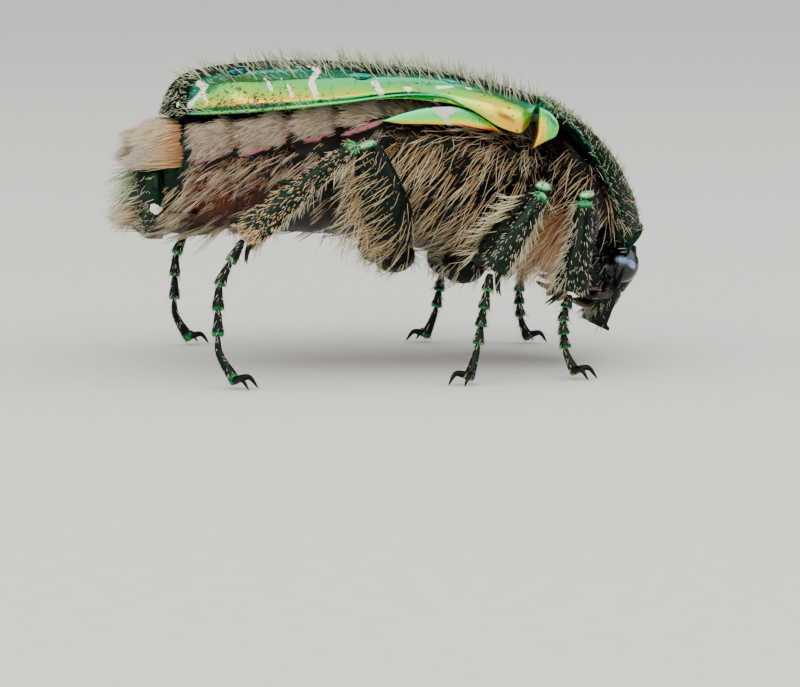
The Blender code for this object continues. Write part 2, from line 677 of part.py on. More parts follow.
def add_tail(root):
    """The last ring of the trunk, split into its back plate and its belly plate."""
    low, high = TAIL_SPLIT
    for name, height, way, kind in (
        ("propygidium", high, -1, "pygidium"),
        ("last_sternite", low, 1, "abdomen"),
    ):
        rings = [trunk_ring(x) for x in np.linspace(*TAIL_SPAN, 4)]
        piece = add(name, loft(rings), root)
        slice_off(piece, (0, 0, height), (0, 0, way))
        if name == "propygidium":
            coat(piece, TAIL_ROWS, ABDOMEN_ROOF, root)
        dress(piece, kind)


def add_pygidium(root):
    """A domed, rounded triangle that closes the tail."""
    def ring(x, scale):
        sizes = np.array(PYGIDIUM_SIZE) * scale
        across, up = oval(PYGIDIUM_SIDES, *sizes, *PYGIDIUM_POWERS)
        return np.stack([x + 0 * across, across, PYGIDIUM_RIM[2] + up], axis=1)

    setback, shrink = PYGIDIUM_BACK
    rings = [ring(PYGIDIUM_RIM[0] + setback, shrink)]
    for turn in np.linspace(0, math.pi / 2 - 0.25, 6):
        x = PYGIDIUM_RIM[0] - PYGIDIUM_DEPTH * math.sin(turn)
        rings.append(ring(x, math.cos(turn) ** 0.8))
    pygidium = add("pygidium", loft(rings), root)
    draw = np.random.default_rng(LOCK_SEED)
    locks = []
    for height, reach in PYGIDIUM_LOCKS:
        for side in SIDES.values():
            place = (PYGIDIUM_LOCK_DEPTH, side * reach, height)
            lie = (-1, side * 0.25, 0.1 * height - 0.15)
            spot = np.array(PYGIDIUM_RIM) + place
            shape = lock(spot, lie, lie, (0, 1, 0), PYGIDIUM_LOCK_LENGTH, draw)
            locks.append(add("lock", shape, root))
    boolean(pygidium, locks, "UNION")
    dress(pygidium, "pygidium")


def add_side_plates(root):
    """The bright plates beside the wing cases, cut clear of the trunk behind them."""
    depth, shrink = SIDE_PLATE_BEVEL
    for kind, outline in (("mesepimeron", MESEPIMERON), ("metepisternum", METEPISTERNUM)):
        corners = np.array(outline)
        middle = corners.mean(axis=0)
        inner, outer = SIDE_PLATE_REACH[kind]
        for name, side in SIDES.items():
            rings = []
            for reach, scale in ((inner, 1), (outer - depth, 1), (outer, shrink)):
                x, z = (middle + (corners - middle) * scale).T
                rings.append(np.stack([x, np.full(len(x), side * reach), z], axis=1))
            plate = add(f"{kind}_{name}", loft(rings), root)
            boolean(plate, [trunk_cutter(root)], "DIFFERENCE")
            dress(plate, "side_plate")


def pronotum_surface(inset):
    """Grid of the pronotum: a crest line along it, arching down to its side ridges.

    Its hind edge bows back to both sides of the scutellum, along the wing cases.
    """
    start = (PRONOTUM_START + inset * 0.9) / PRONOTUM_LENGTH
    share = np.linspace(start, 1 - inset * 0.3 / PRONOTUM_LENGTH, PRONOTUM_ROWS)
    half = curve(PRONOTUM_HALF_WIDTH, share) - inset * 0.8
    turn = np.linspace(-math.pi / 2, math.pi / 2, PRONOTUM_COLUMNS + 1)
    out = np.sign(turn) * np.abs(np.sin(turn)) ** (2 / PRONOTUM_ARCH)
    fall = 1 - np.abs(np.cos(turn)) ** (2 / PRONOTUM_ARCH)
    drop = np.maximum(curve(PRONOTUM_DROP, share) - inset, 0.02)
    bow = -PRONOTUM_BOW * out**2 * (1 - share[:, None]) ** 3
    x = (share * PRONOTUM_LENGTH)[:, None] + bow
    y = half[:, None] * out
    z = (curve(PRONOTUM_CREST, share) - inset)[:, None] - drop[:, None] * fall
    return np.stack([x, y, z], axis=2)


def add_pronotum(prothorax):
    """The shield behind the head, a curved plate."""
    add("pronotum", shell(pronotum_surface(0), pronotum_surface(THIN)), prothorax, "pronotum")


def prosternum_rings(grow):
    """Rings that turn from upright at the back to slanting at the front."""
    rings = []
    for t in np.linspace(-grow * 0.6, 1 + grow * 0.6, PROSTERNUM_RINGS):
        inside = min(max(t, 0), 1)
        x = PROSTERNUM_SPAN[0] + (PROSTERNUM_SPAN[1] - PROSTERNUM_SPAN[0]) * t
        share = x / PRONOTUM_LENGTH
        slant = PROSTERNUM_SLANT[0] + (PROSTERNUM_SLANT[1] - PROSTERNUM_SLANT[0]) * inside
        top = float(curve(PRONOTUM_CREST, share)) - THIN - GAP
        ridge = float(curve(PRONOTUM_CREST, share) - curve(PRONOTUM_DROP, share))
        rise = max(top - (ridge - 2.2 * GAP), 0.5)
        half = float(curve(PRONOTUM_HALF_WIDTH, share)) - GAP + grow
        drop = float(curve(PROSTERNUM_DEPTH, inside)) + grow
        across, up = oval(PROSTERNUM_SIDES, half, rise + grow, drop, 2.6, 2.2)
        down = np.array([math.sin(slant), 0, -math.cos(slant)])
        centre = np.array([x, 0, top]) + down * rise
        ring = centre - np.outer(up, down)
        ring[:, 1] = across
        rings.append(ring)
    return rings


def add_prosternum(prothorax):
    """The underside of the prothorax, from which the front legs grow."""
    add("prosternum", loft(prosternum_rings(0.0)), prothorax, "underside")


def head_ring(t):
    """Outline across the head at this share of its length."""
    half = float(curve(HEAD_HALF_WIDTH, t))
    brow, throat = float(curve(HEAD_BROW, t)), float(curve(HEAD_THROAT, t))
    middle = (brow + throat) / 2
    across, up = oval(HEAD_SIDES, half, brow - middle, middle - throat, 3, 2.4)
    return np.stack([np.full(HEAD_SIDES, t * HEAD_LENGTH), across, middle + up], axis=1)


def ellipsoid(centre, radii, rows=7, sides=10):
    """A closed ellipsoid with its poles across the body."""
    turn = np.linspace(POLE, math.pi - POLE, rows)
    rings = []
    for a in turn:
        across, up = oval(sides, math.sin(a), math.sin(a), math.sin(a), 2, 2)
        unit = np.stack([across, np.full(sides, -math.cos(a)), up], axis=1)
        rings.append(np.array(centre) + unit * np.array(radii))
    return loft(rings)


def clypeus_rim():
    """A low bar round the front and sides of the flat shield over the mouth."""
    back, front = HEAD_LENGTH * np.array(CLYPEUS_SPAN)
    wide, narrow = CLYPEUS_HALF_WIDTH
    height = float(curve(HEAD_BROW, CLYPEUS_SPAN[1])) - CLYPEUS_SEAT
    half = [(back, wide), (front - (wide - narrow), wide), (front, narrow)]
    points = [(x, -y, height) for x, y in half] + [(x, y, height) for x, y in reversed(half)]
    return tube(points, [CLYPEUS_RIM] * len(points), 1, 6, (0, 0, 1))


def add_head(head):
    """The head with its flat clypeus, and sockets for the eyes."""
    shares = np.concatenate([np.linspace(0, 0.9, HEAD_RINGS - 2), [0.97, 1.0]])
    skull = add("head", loft([head_ring(t) for t in shares]), head)
    boolean(skull, [add("rim", clypeus_rim(), head)], "UNION")
    sockets = []
    for side in SIDES.values():
        centre = np.array(EYE_PLACE) * [1, side, 1]
        sockets.append(add("socket", ellipsoid(centre, np.array(EYE_SIZE) + GAP), head))
    boolean(skull, sockets, "DIFFERENCE")
    dress(skull, "head")


def add_eyes(head):
    """Round eyes at the sides of the head."""
    for name, side in SIDES.items():
        centre = np.array(EYE_PLACE) * [1, side, 1]
        add(f"eye_{name}", ellipsoid(centre, EYE_SIZE, 8, 12), head, "eye")


def add_antennae(head):
    """Short elbowed antennae, each ending in a club of three leaves."""
    for name, side in SIDES.items():
        mirror = np.array([1, side, 1])
        bends = np.array([ANTENNA_ROOT, ANTENNA_ELBOW, ANTENNA_CLUB_BASE]) * mirror
        stem = along(bends, np.linspace(0, 1, len(ANTENNA_STEM_WIDTHS)))
        shape = tube(stem, ANTENNA_STEM_WIDTHS, 1, 6, (1, 0, 0))
        antenna = add(f"antenna_{name}", shape, head)
        base, tip = bends[-1], np.array(ANTENNA_TIP) * mirror
        leaves = []
        for offset in LEAF_OFFSETS:
            shares = np.linspace(-LEAF_OVERLAP, 1, len(LEAF_WIDTHS))
            path = base + np.outer(shares, tip - base) + [offset, 0, 0]
            shape = tube(path, LEAF_WIDTHS, LEAF_FLATNESS, 8, (0, 0.6 * side, 1))
            leaves.append(add("leaf", shape, head))
        boolean(antenna, leaves, "UNION")
        dress(antenna, "antenna")


def add_palps(head):
    """Two short feelers under the mouth."""
    for name, side in SIDES.items():
        mirror = np.array([1, side, 1])
        path = along([PALP_ROOT, PALP_TIP], np.linspace(0, 1, len(PALP_WIDTHS))) * mirror
        add(f"palp_{name}", tube(path, PALP_WIDTHS, 1, 6, (0, 0, 1)), head, "antenna")


def leg_path(points, side, shift=(0, 0)):
    """The limb's points on this side, with the far leg set a little differently."""
    moved = np.array(points, float)
    return (moved + np.array([shift[0], shift[1], 0])) * [1, side, 1]


def add_coxa(name, leg, side, root, body):
    """The hip, a stout block let into the body's underside."""
    shares = np.linspace(0, 1, 5)
    path = along(leg_path(leg.coxa, side), shares)
    widths = leg.coxa_width * curve(COXA_PROFILE, shares)
    shape = tube(path, widths, COXA_FLATNESS, COXA_SIDES, (1, 0, 0))
    coxa = add(f"{name}_coxa", shape, root, origin=path[0])
    boolean(coxa, body, "DIFFERENCE")
    dress(coxa, "underside")


def add_femur(name, kind, leg, side, root, body):
    """The thigh, flattened against the body."""
    limb = leg_path(leg.femur, side)
    path = along(limb, LIMB_STATIONS)
    widths = leg.femur_width * curve(FEMUR_PROFILE, LIMB_STATIONS)
    shape = tube(path, widths, FEMUR_FLATNESS, LEG_SIDES, (1, 0, 0.3))
    femur = add(f"{name}_femur", shape, root, origin=path[0])
    boolean(femur, body, "DIFFERENCE")
    fringe(femur, f"{kind}_femur", limb, side, root)
    dress(femur, "leg")


def add_tibia(name, kind, leg, side, root, shift):
    """The shin, widening to its end, with its teeth and its two spurs.

    The teeth point away from the body's middle: forwards on the front legs, backwards and
    up on the others.
    """
    limb = leg_path(leg.tibia, side)
    limb[1:] += np.outer([0.5, 1], [shift[0], side * shift[1], 0])
    path = along(limb, LIMB_STATIONS)
    widths = leg.tibia_width * curve(TIBIA_PROFILE, LIMB_STATIONS)
    heading = Vector(path[-1] - path[0]).normalized()
    outer = heading.cross(Vector((0, 1, 0))).normalized()
    if outer.x * (1 if kind == "front" else -1) < 0:
        outer = -outer
    shape = tube(path, widths, TIBIA_FLATNESS, LEG_SIDES, outer)
    tibia = add(f"{name}_tibia", shape, root, origin=path[0])
    outer, heading = np.array(outer), np.array(heading)
    extras = []
    shortest, growth = TOOTH_LENGTHS
    for t in TOOTH_SHARES[kind]:
        base = along(limb, np.array([t]))[0] + outer * leg.tibia_width * TOOTH_SEAT
        tip = base + outer * (shortest + growth * t) + heading * TOOTH_LEAN
        extras.append(add("tooth", cone(base, tip, TOOTH_RADIUS), root))
    for offset in SPUR_OFFSETS:
        base = path[-2] - outer * leg.tibia_width * SPUR_SEAT + [0, offset, 0]
        tip = base + heading * SPUR_LENGTH - outer * SPUR_SPLAY + [0, offset, 0]
        extras.append(add("spur", cone(base, tip, SPUR_RADIUS), root))
    boolean(tibia, extras, "UNION")
    if kind == "hind":
        fringe(tibia, "hind_tibia", limb, side, root)
    dress(tibia, "leg")


def add_tarsus(name, leg, side, root, shift):
    """The foot: five joints like beads, the last one long, and two hooked claws.

    What would reach below the floor is cut away, which leaves small flats to stand on.
    """
    points = leg_path(leg.tarsus, side, shift)
    edges = np.concatenate([np.linspace(0, 1 - LAST_JOINT_SHARE, TARSUS_JOINTS), [1]])
    shares = [a + (b - a) * t for a, b in zip(edges, edges[1:]) for t in JOINT_STATIONS]
    widths = [TARSUS_WAIST, TARSUS_WIDTH, TARSUS_WIDTH] * TARSUS_JOINTS
    path = along(points, np.array(shares))
    shape = tube(path, widths, 1, TARSUS_SIDES, (0.3, side, 0.2))
    foot = add(f"{name}_tarsus", shape, root, origin=path[0])
    heading = Vector(points[-1] - points[-2])
    heading.z = 0
    heading.normalize()
    across = Vector((-heading.y, heading.x, 0))
    start = path[-1] - np.array(heading) * CLAW_SEAT
    reach, splay = CLAW_REACH
    claws = []
    for way in (-1, 1):
        aside = across * way * CLAW_SPREAD
        bend = start + np.array(heading * CLAW_BEND + aside) * CLAW_LENGTH
        tip = start + np.array(heading * reach + aside * splay) * CLAW_LENGTH
        bend[2] += CLAW_ARCH
        tip[2] = 0
        hook = along([start, bend, tip], np.linspace(0, 1, len(CLAW_WIDTHS)))
        claws.append(add("claw", tube(hook, CLAW_WIDTHS, 1, 5, across), root))
    boolean(foot, claws, "UNION")
    slice_off(foot, (0, 0, 0), (0, 0, -1))
    dress(foot, "leg")


def prothorax_cutter(prothorax):
    """The prothorax's underside, swollen by the gap."""
    return hide(add("prothorax_cutter", loft(prosternum_rings(GAP)), prothorax))


def add_legs(root, prothorax):
    """Six legs of four pieces each, with the far ones set a little differently."""
    for kind, leg in LEGS.items():
        for side_name, side in SIDES.items():
            name = f"{kind}_{side_name}"
            shift = leg.far_shift if side_name == "left" else (0, 0)
            coxa_body = [trunk_cutter(root)]
            femur_body = [trunk_cutter(root)]
            if kind == "front":
                coxa_body = [prothorax_cutter(prothorax)]
                femur_body = [prothorax_cutter(prothorax)]
            add_coxa(name, leg, side, root, coxa_body)
            add_femur(name, kind, leg, side, root, femur_body)
            add_tibia(name, kind, leg, side, root, shift)
            add_tarsus(name, leg, side, root, shift)


def main():
    """Builds the beetle piece by piece."""
    clear_scene()
    root = frame_empty("rose_chafer", None, (-CENTRE[0], -CENTRE[1], 0), 0)
    prothorax = frame_empty("prothorax_frame", root, PROTHORAX_BASE, PROTHORAX_PITCH)
    head = frame_empty("head_frame", root, HEAD_BASE, HEAD_PITCH)
    add_thorax(root)
    add_abdomen(root)
    add_tail(root)
    add_pygidium(root)
    add_side_plates(root)
    add_elytra(root)
    add_scutellum(root)
    add_pronotum(prothorax)
    add_prosternum(prothorax)
    add_head(head)
    add_eyes(head)
    add_antennae(head)
    add_palps(head)
    add_legs(root, prothorax)


main()
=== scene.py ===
"""Looks of a rose chafer, a broad metallic green beetle, standing life size.

Sizes are millimetres in the body's own frame: +X forwards, +Y the beetle's left, +Z up,
with the floor at zero. The prothorax and the head nod in frames of their own. Each new
piece is a surface worked out on a grid of two shares, and each coat is a joined mesh of
tapered strands rooted on such a grid. The boxes of three nodes lay this frame on the
packed one.
"""

import logging
import math
from dataclasses import dataclass, field, replace
from enum import Enum
from typing import Any, Callable

import bpy
import numpy as np
from mathutils import Euler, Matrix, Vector


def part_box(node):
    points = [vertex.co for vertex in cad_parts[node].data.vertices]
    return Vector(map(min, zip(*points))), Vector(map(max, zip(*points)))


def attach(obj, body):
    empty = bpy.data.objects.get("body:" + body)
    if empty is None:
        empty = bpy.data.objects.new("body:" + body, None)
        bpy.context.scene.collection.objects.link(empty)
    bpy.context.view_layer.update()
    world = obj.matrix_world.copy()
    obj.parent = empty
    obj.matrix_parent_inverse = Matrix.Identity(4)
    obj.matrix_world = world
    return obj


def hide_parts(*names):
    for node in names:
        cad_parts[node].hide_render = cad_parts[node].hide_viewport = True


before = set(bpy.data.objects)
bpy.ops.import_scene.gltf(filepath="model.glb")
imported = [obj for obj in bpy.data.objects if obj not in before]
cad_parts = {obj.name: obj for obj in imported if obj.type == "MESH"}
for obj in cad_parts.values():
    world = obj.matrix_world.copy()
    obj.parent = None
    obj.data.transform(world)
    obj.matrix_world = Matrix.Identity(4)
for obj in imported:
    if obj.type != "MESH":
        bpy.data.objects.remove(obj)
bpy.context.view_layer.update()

log = logging.getLogger("rose_chafer")
Array = np.ndarray
Tree = bpy.types.NodeTree
Socket = bpy.types.NodeSocket
Knots = tuple[tuple[float, float], ...]
Point = tuple[float, float, float]
Stops = tuple[tuple[float, str], ...]
# What a coat asks of points and normals: the way to lie, or how densely to grow
Rule = Callable[[Array, Array], Array]

# A millimetre in metres
MM = 0.001
# The sign of y on each side of the body
SIDES = {"right": -1, "left": 1}
# Where the scutellum's front edge and the seam's front end lie along the body
SCUTELLUM_FRONT = 4.55


def body_offset() -> Array:
    """Where the body frame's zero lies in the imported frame, in millimetres.

    Returns:
        The shift that puts the scutellum's front edge and the middle seam on the nodes'.
    """
    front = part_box("scutellum")[1].x / MM
    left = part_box("elytron_left")[1].y / MM
    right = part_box("elytron_right")[0].y / MM
    return np.array([front - SCUTELLUM_FRONT, (left + right) / 2, 0.0])


OFFSET = body_offset()


def linear(code: str) -> tuple[float, float, float, float]:
    """Turns an sRGB hex colour to linear light.

    Args:
        code: Six hex digits after a hash.
    Returns:
        Red, green, blue and one for opaque.
    """
    parts = [int(code[i : i + 2], 16) / 255 for i in (1, 3, 5)]
    low = [c / 12.92 if c <= 0.04045 else ((c + 0.055) / 1.055) ** 2.4 for c in parts]
    return (low[0], low[1], low[2], 1.0)


def smooth_line(knots: Knots | Array, at: Array | float) -> Array:
    """Reads a smooth line through knots that never overshoots them.

    A cubic between each two knots, whose slope at a knot is the weighted harmonic mean of
    the slopes to both sides, or level where they disagree.

    Args:
        knots: Places and heights, with the places rising.
        at: Where to read it.
    Returns:
        The heights there.
    """
    x, y = np.array(knots, float).T
    width = np.diff(x)
    slope = np.diff(y) / width
    tangent = np.concatenate([slope[:1], np.zeros(len(x) - 2), slope[-1:]])
    same = slope[:-1] * slope[1:] > 0
    left = (2 * width[1:] + width[:-1])[same]
    right = (width[1:] + 2 * width[:-1])[same]
    tangent[1:-1][same] = (left + right) / (left / slope[:-1][same] + right / slope[1:][same])
    at = np.clip(at, x[0], x[-1])
    i = np.clip(np.searchsorted(x, at) - 1, 0, len(width) - 1)
    t = (at - x[i]) / width[i]
    rise = y[i] * (1 + 2 * t) * (1 - t) ** 2 + y[i + 1] * t * t * (3 - 2 * t)
    return rise + width[i] * t * (1 - t) * (tangent[i] * (1 - t) - tangent[i + 1] * t)


def read_path(points: Any, shares: Array) -> Array:
    """Reads a path whose three coordinates are smooth lines over the distance along it.

    Args:
        points: Places along the path.
        shares: Where to read it, from nothing at its start to one at its end.
    Returns:
        A point for each share.
    """
    points = np.array(points, float)
    steps = np.linalg.norm(np.diff(points, axis=0), axis=1)
    reach = np.concatenate([[0], np.cumsum(steps)]) / steps.sum()
    return np.stack([smooth_line(np.stack([reach, p], 1), shares) for p in points.T], 1)


def unit(vectors: Array) -> Array:
    """The same directions at length one."""
    return vectors / np.maximum(np.linalg.norm(vectors, axis=-1, keepdims=True), 1e-12)


def hump(at: Array, middle: float, width: float) -> Array:
    """A bell curve of height one."""
    return np.exp(-(((at - middle) / width) ** 2))


def ramp(at: Array, low: float, high: float) -> Array:
    """Rises smoothly from nothing at low to one at high."""
    t = np.clip((at - low) / (high - low), 0, 1)
    return t * t * (3 - 2 * t)


def oval(turn: Array, half: Array, rise: Array, drop: Array, up: float, down: float) -> tuple:
    """Across and up values of an outline: a superellipse above, and another one below.

    Across is the half width times the cosine, up the rise or drop times the sine, each to
    the power of two over the superellipse's own power.

    Args:
        turn: Angles round it.
        half: Its half width.
        rise: Its height above the level line.
        drop: Its depth below that.
        up: The power of its upper half.
        down: The power of its lower half.
    Returns:
        Values across and values up.
    """
    cos, sin = np.cos(turn), np.sin(turn)
    power = np.where(sin >= 0, up, down)
    across = half * np.sign(cos) * np.abs(cos) ** (2 / power)
    return across, np.where(sin >= 0, rise, drop) * np.sign(sin) * np.abs(sin) ** (2 / power)


def round_turns(count: int) -> Array:
    """Angles right round a ring, in one row."""
    return np.linspace(0, 2 * math.pi, count, endpoint=False)[None]


def closed(rings: Array) -> Array:
    """The rings with each one's first point again at its end."""
    return np.concatenate([rings, rings[:, :1]], 1)


def ball(rings: int, sides: int, end: float = 0.02) -> Array:
    """A ball of radius one about the first axis.

    Along the axis it is less the cosine of the turn. Across and up it is the turn's sine
    times the cosine and the sine of the angle round the axis.

    Args:
        rings: How many rings it has.
        sides: Points round each ring.
        end: The turn at the first ring, and what is left of it at the last.
    Returns:
        Points by ring and by place round it.
    """
    turn, around = np.linspace(end, math.pi - end, rings)[:, None], round_turns(sides)
    wide = np.sin(turn)
    return np.stack([-np.cos(turn) + 0 * around, wide * np.cos(around), wide * np.sin(around)], 2)


def nod(points: Array, base: Point, pitch: float) -> Array:
    """Turns points about the cross axis, nose down, and carries them to a base.

    Args:
        points: Places in a nodding frame.
        base: Where that frame's zero lies in the body frame.
        pitch: How far it nods, in radians.
    Returns:
        The same places in the body frame.
    """
    x, y, z = points[..., 0], points[..., 1], points[..., 2]
    cos, sin = math.cos(pitch), math.sin(pitch)
    return np.stack([x * cos + z * sin, y, z * cos - x * sin], -1) + np.array(base)


@dataclass
class Shape:
    """Vertices in millimetres, faces as arrays of three or four corners, and attributes."""

    vertices: Array
    faces: list[Array]
    marks: dict[str, Array] = field(default_factory=dict)
    uv: Array | None = None

    @staticmethod
    def join(shapes: list["Shape"]) -> "Shape":
        """Joins shapes whose attributes have the same names.

        Args:
            shapes: The shapes.
        Returns:
            One shape of them all.
        """
        shift = np.cumsum([0] + [len(s.vertices) for s in shapes])
        faces = [f + shift[i] for i, s in enumerate(shapes) for f in s.faces]
        marks = {k: np.concatenate([s.marks[k] for s in shapes]) for k in shapes[0].marks}
        uv = None
        if shapes[0].uv is not None:
            uv = np.concatenate([s.uv for s in shapes])
        return Shape(np.concatenate([s.vertices for s in shapes]), faces, marks, uv)

    def volume(self) -> float:
        """Adds up the tetrahedra between the origin and each face.

        Returns:
            The volume, below nothing where the faces point inwards.
        """
        total = 0.0
        for face in self.faces:
            corner = self.vertices[face]
            for k in range(1, face.shape[1] - 1):
                cross = np.cross(corner[:, k], corner[:, k + 1])
                total += float(np.einsum("ij,ij->", corner[:, 0], cross))
        return total / 6

    def build(self, name: str, finish: "Finish", slot: str, *nodes: str) -> None:
        """Makes the Blender object, turned outwards, riding on the body.

        Args:
            name: The piece's name.
            finish: What it is made of.
            slot: The record's material slot; not used.
            *nodes: The nodes of the frame that it stands for.
        """
        if self.volume() < 0:
            self.faces = [face[:, ::-1] for face in self.faces]
        mesh = bpy.data.meshes.new(name)
        corners = np.concatenate([face.ravel() for face in self.faces])
        sizes = np.concatenate([np.full(len(f), f.shape[1]) for f in self.faces])
        mesh.vertices.add(len(self.vertices))
        mesh.vertices.foreach_set("co", ((self.vertices + OFFSET) * MM).ravel())
        mesh.loops.add(len(corners))
        mesh.loops.foreach_set("vertex_index", corners)
        mesh.polygons.add(len(sizes))
        mesh.polygons.foreach_set("loop_start", np.concatenate([[0], np.cumsum(sizes)[:-1]]))
        mesh.update(calc_edges=True)
        mesh.validate()
        for key, values in self.marks.items():
            layer = mesh.attributes.new(key, "FLOAT", "POINT")
            layer.data.foreach_set("value", values.astype(np.float32).ravel())
        if self.uv is not None:
            layer = mesh.uv_layers.new(name="OFBake")
            layer.data.foreach_set("uv", self.uv[corners].astype(np.float32).ravel())
        mesh.shade_smooth()
        mesh.materials.append(finish.made)
        piece = bpy.data.objects.new(name, mesh)
        bpy.context.scene.collection.objects.link(piece)
        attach(piece, "root")
        if nodes:
            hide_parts(*nodes)
        log.info("%s: %d faces", name, len(sizes))


def grid_faces(rows: int, columns: int, wrap: bool = False) -> Array:
    """Four-cornered faces of a grid.

    Args:
        rows: Its rows.
        columns: Its columns.
        wrap: Whether its last column meets its first.
    Returns:
        The corners of each face.
    """
    i, j = np.meshgrid(np.arange(rows - 1), np.arange(columns - (not wrap)), indexing="ij")
    a, b = i * columns + j, i * columns + (j + 1) % columns
    return np.stack([a, b, b + columns, a + columns], -1).reshape(-1, 4)


def loft(rings: Array, marks: dict[str, Array] | None = None) -> Shape:
    """A solid through rings of points, closed by a fan to a pole at each end.

    Args:
        rings: Points by ring and by place round it.
        marks: Attributes on the same grid.
    Returns:
        The solid.
    """
    rows, sides, _ = rings.shape
    poles = np.stack([rings[0].mean(0), rings[-1].mean(0)])
    k = np.arange(sides)
    first, last, far = rows * sides, rows * sides + 1, (rows - 1) * sides
    start = np.stack([np.full(sides, first), (k + 1) % sides, k], 1)
    end = np.stack([np.full(sides, last), far + k, far + (k + 1) % sides], 1)
    values = {}
    for key, grid in (marks or {}).items():
        grid = np.broadcast_to(grid, (rows, sides))
        values[key] = np.concatenate([grid.ravel(), [grid[0].mean(), grid[-1].mean()]])
    faces = [grid_faces(rows, sides, True), start, end]
    return Shape(np.concatenate([rings.reshape(-1, 3), poles]), faces, values)


def grid_normals(grid: Array) -> Array:
    """Directions square to a grid, from the cross product of its two slopes.

    Args:
        grid: The points.
    Returns:
        A direction for each, pointing away from the grid's middle.
    """
    across = np.cross(np.gradient(grid, axis=0), np.gradient(grid, axis=1))
    normals = unit(across)
    sign = np.sum(across * (grid - grid.mean((0, 1))))
    return normals * (1 if sign >= 0 else -1)


def plate(outer: Array, out: Array, thickness: float, rim: float, marks: dict[str, Array]) -> Shape:
    """A curved plate below a grid of points, with rounded edges.

    Its inner face lies below the outer one. The depth grows from nothing at the four edges
    to the full thickness over the rim's width, as a quarter of an ellipse.

    Args:
        outer: The grid of the outer face.
        out: The way out of the plate at each of its points.
        thickness: The full depth.
        rim: The width of the rounded edge.
        marks: Attributes on the grid.
    Returns:
        The plate as a closed solid.
    """
    rows, columns, _ = outer.shape
    down = np.linalg.norm(np.diff(outer, axis=0), axis=2).cumsum(0)
    down = np.concatenate([np.zeros((1, columns)), down])
    along = np.linalg.norm(np.diff(outer, axis=1), axis=2).cumsum(1)
    along = np.concatenate([np.zeros((rows, 1)), along], 1)
    away = np.minimum.reduce([down, down[-1:] - down, along, along[:, -1:] - along])
    depth = thickness * np.sqrt(1 - (1 - np.clip(away / rim, 0, 1)) ** 2)
    inner = outer - out * depth[..., None]
    index = np.arange(rows * columns).reshape(rows, columns)
    under = index + rows * columns
    under[0], under[-1] = index[0], index[-1]
    under[:, 0], under[:, -1] = index[:, 0], index[:, -1]
    top = grid_faces(rows, columns)
    bottom = under.ravel()[top][:, ::-1]
    vertices = np.concatenate([outer.reshape(-1, 3), inner.reshape(-1, 3)])
    used = np.unique(np.concatenate([top.ravel(), bottom.ravel()]))
    place = np.zeros(len(vertices), int)
    place[used] = np.arange(len(used))
    values = {}
    for key, value in marks.items():
        value = np.broadcast_to(value, (rows, columns)).ravel()
        values[key] = np.concatenate([value, value])[used]
    return Shape(vertices[used], [place[top], place[bottom]], values)


def limb_rings(path: Array, wide_way: Any, half: Array, flat: Array, sides: int) -> Array:
    """Rings round a path: ovals whose long axis lies as near as it can to a direction.

    Args:
        path: Points along the limb.
        wide_way: The way of the long axis.
        half: Half widths at the points.
        flat: Thickness over width at the points.
        sides: Points round each ring.
    Returns:
        Points by ring and by place round it.
    """
    ahead = unit(np.gradient(path, axis=0))
    wide = np.broadcast_to(np.array(wide_way, float), path.shape)
    wide = unit(wide - ahead * np.sum(wide * ahead, 1, keepdims=True))
    thick = np.cross(ahead, wide)
    turn = np.arange(sides) * 2 * math.pi / sides
    across = np.asarray(half)[:, None] * np.cos(turn)
    up = (np.asarray(half) * np.asarray(flat))[:, None] * np.sin(turn)
    return path[:, None] + across[..., None] * wide[:, None] + up[..., None] * thick[:, None]


# The radius of a spike's blunt tip
TIP = 0.004


def horn(path: Any, radius: float, sides: int = 8, stations: int = 9) -> Shape:
    """A smooth spike, as thick as its root by a power of the share that is left.

    Args:
        path: Places from its root to its tip.
        radius: Its radius at the root.
        sides: Points round each ring.
        stations: How many rings it has.
    Returns:
        The spike.
    """
    t = np.linspace(0, 1, stations)
    half = radius * (1 - t) ** 0.7 + TIP
    return loft(limb_rings(read_path(path, t), (0.3, 0.2, 1), half, np.ones(stations), sides))


def plain(shape: Shape, value: float) -> Shape:
    """The shape with one sweep value all over."""
    shape.marks = {"sweep": np.full(len(shape.vertices), value)}
    return shape


def add_node(tree: Tree, kind: str, inputs: dict | None = None, **settings: Any) -> bpy.types.Node:
    """Adds a node to a tree.

    Args:
        tree: The material's tree.
        kind: Blender's name for the node.
        inputs: Values or sockets for its inputs, by name or number.
        **settings: Values of the node itself.
    Returns:
        The new node.
    """
    made = tree.nodes.new(kind)
    for name, value in settings.items():
        setattr(made, name, value)
    for key, value in (inputs or {}).items():
        if isinstance(value, Socket):
            tree.links.new(value, made.inputs[key])
        else:
            made.inputs[key].default_value = value
    return made


def sized(place: Socket, size_mm: float, **more: float) -> dict:
    """Inputs of a pattern whose cells have this size."""
    return {"Vector": place, "Scale": 1 / (size_mm * MM), **more}


def fill_ramp(node: bpy.types.Node, stops: Stops) -> None:
    """Gives a colour ramp its stops.

    Args:
        node: The ramp, which has two stops as Blender makes it.
        stops: Places and sRGB hex colours.
    """
    elements = node.color_ramp.elements
    while len(elements) < len(stops):
        elements.new(0.5)
    for element, (place, code) in zip(elements, stops):
        element.position = place
        element.color = linear(code)


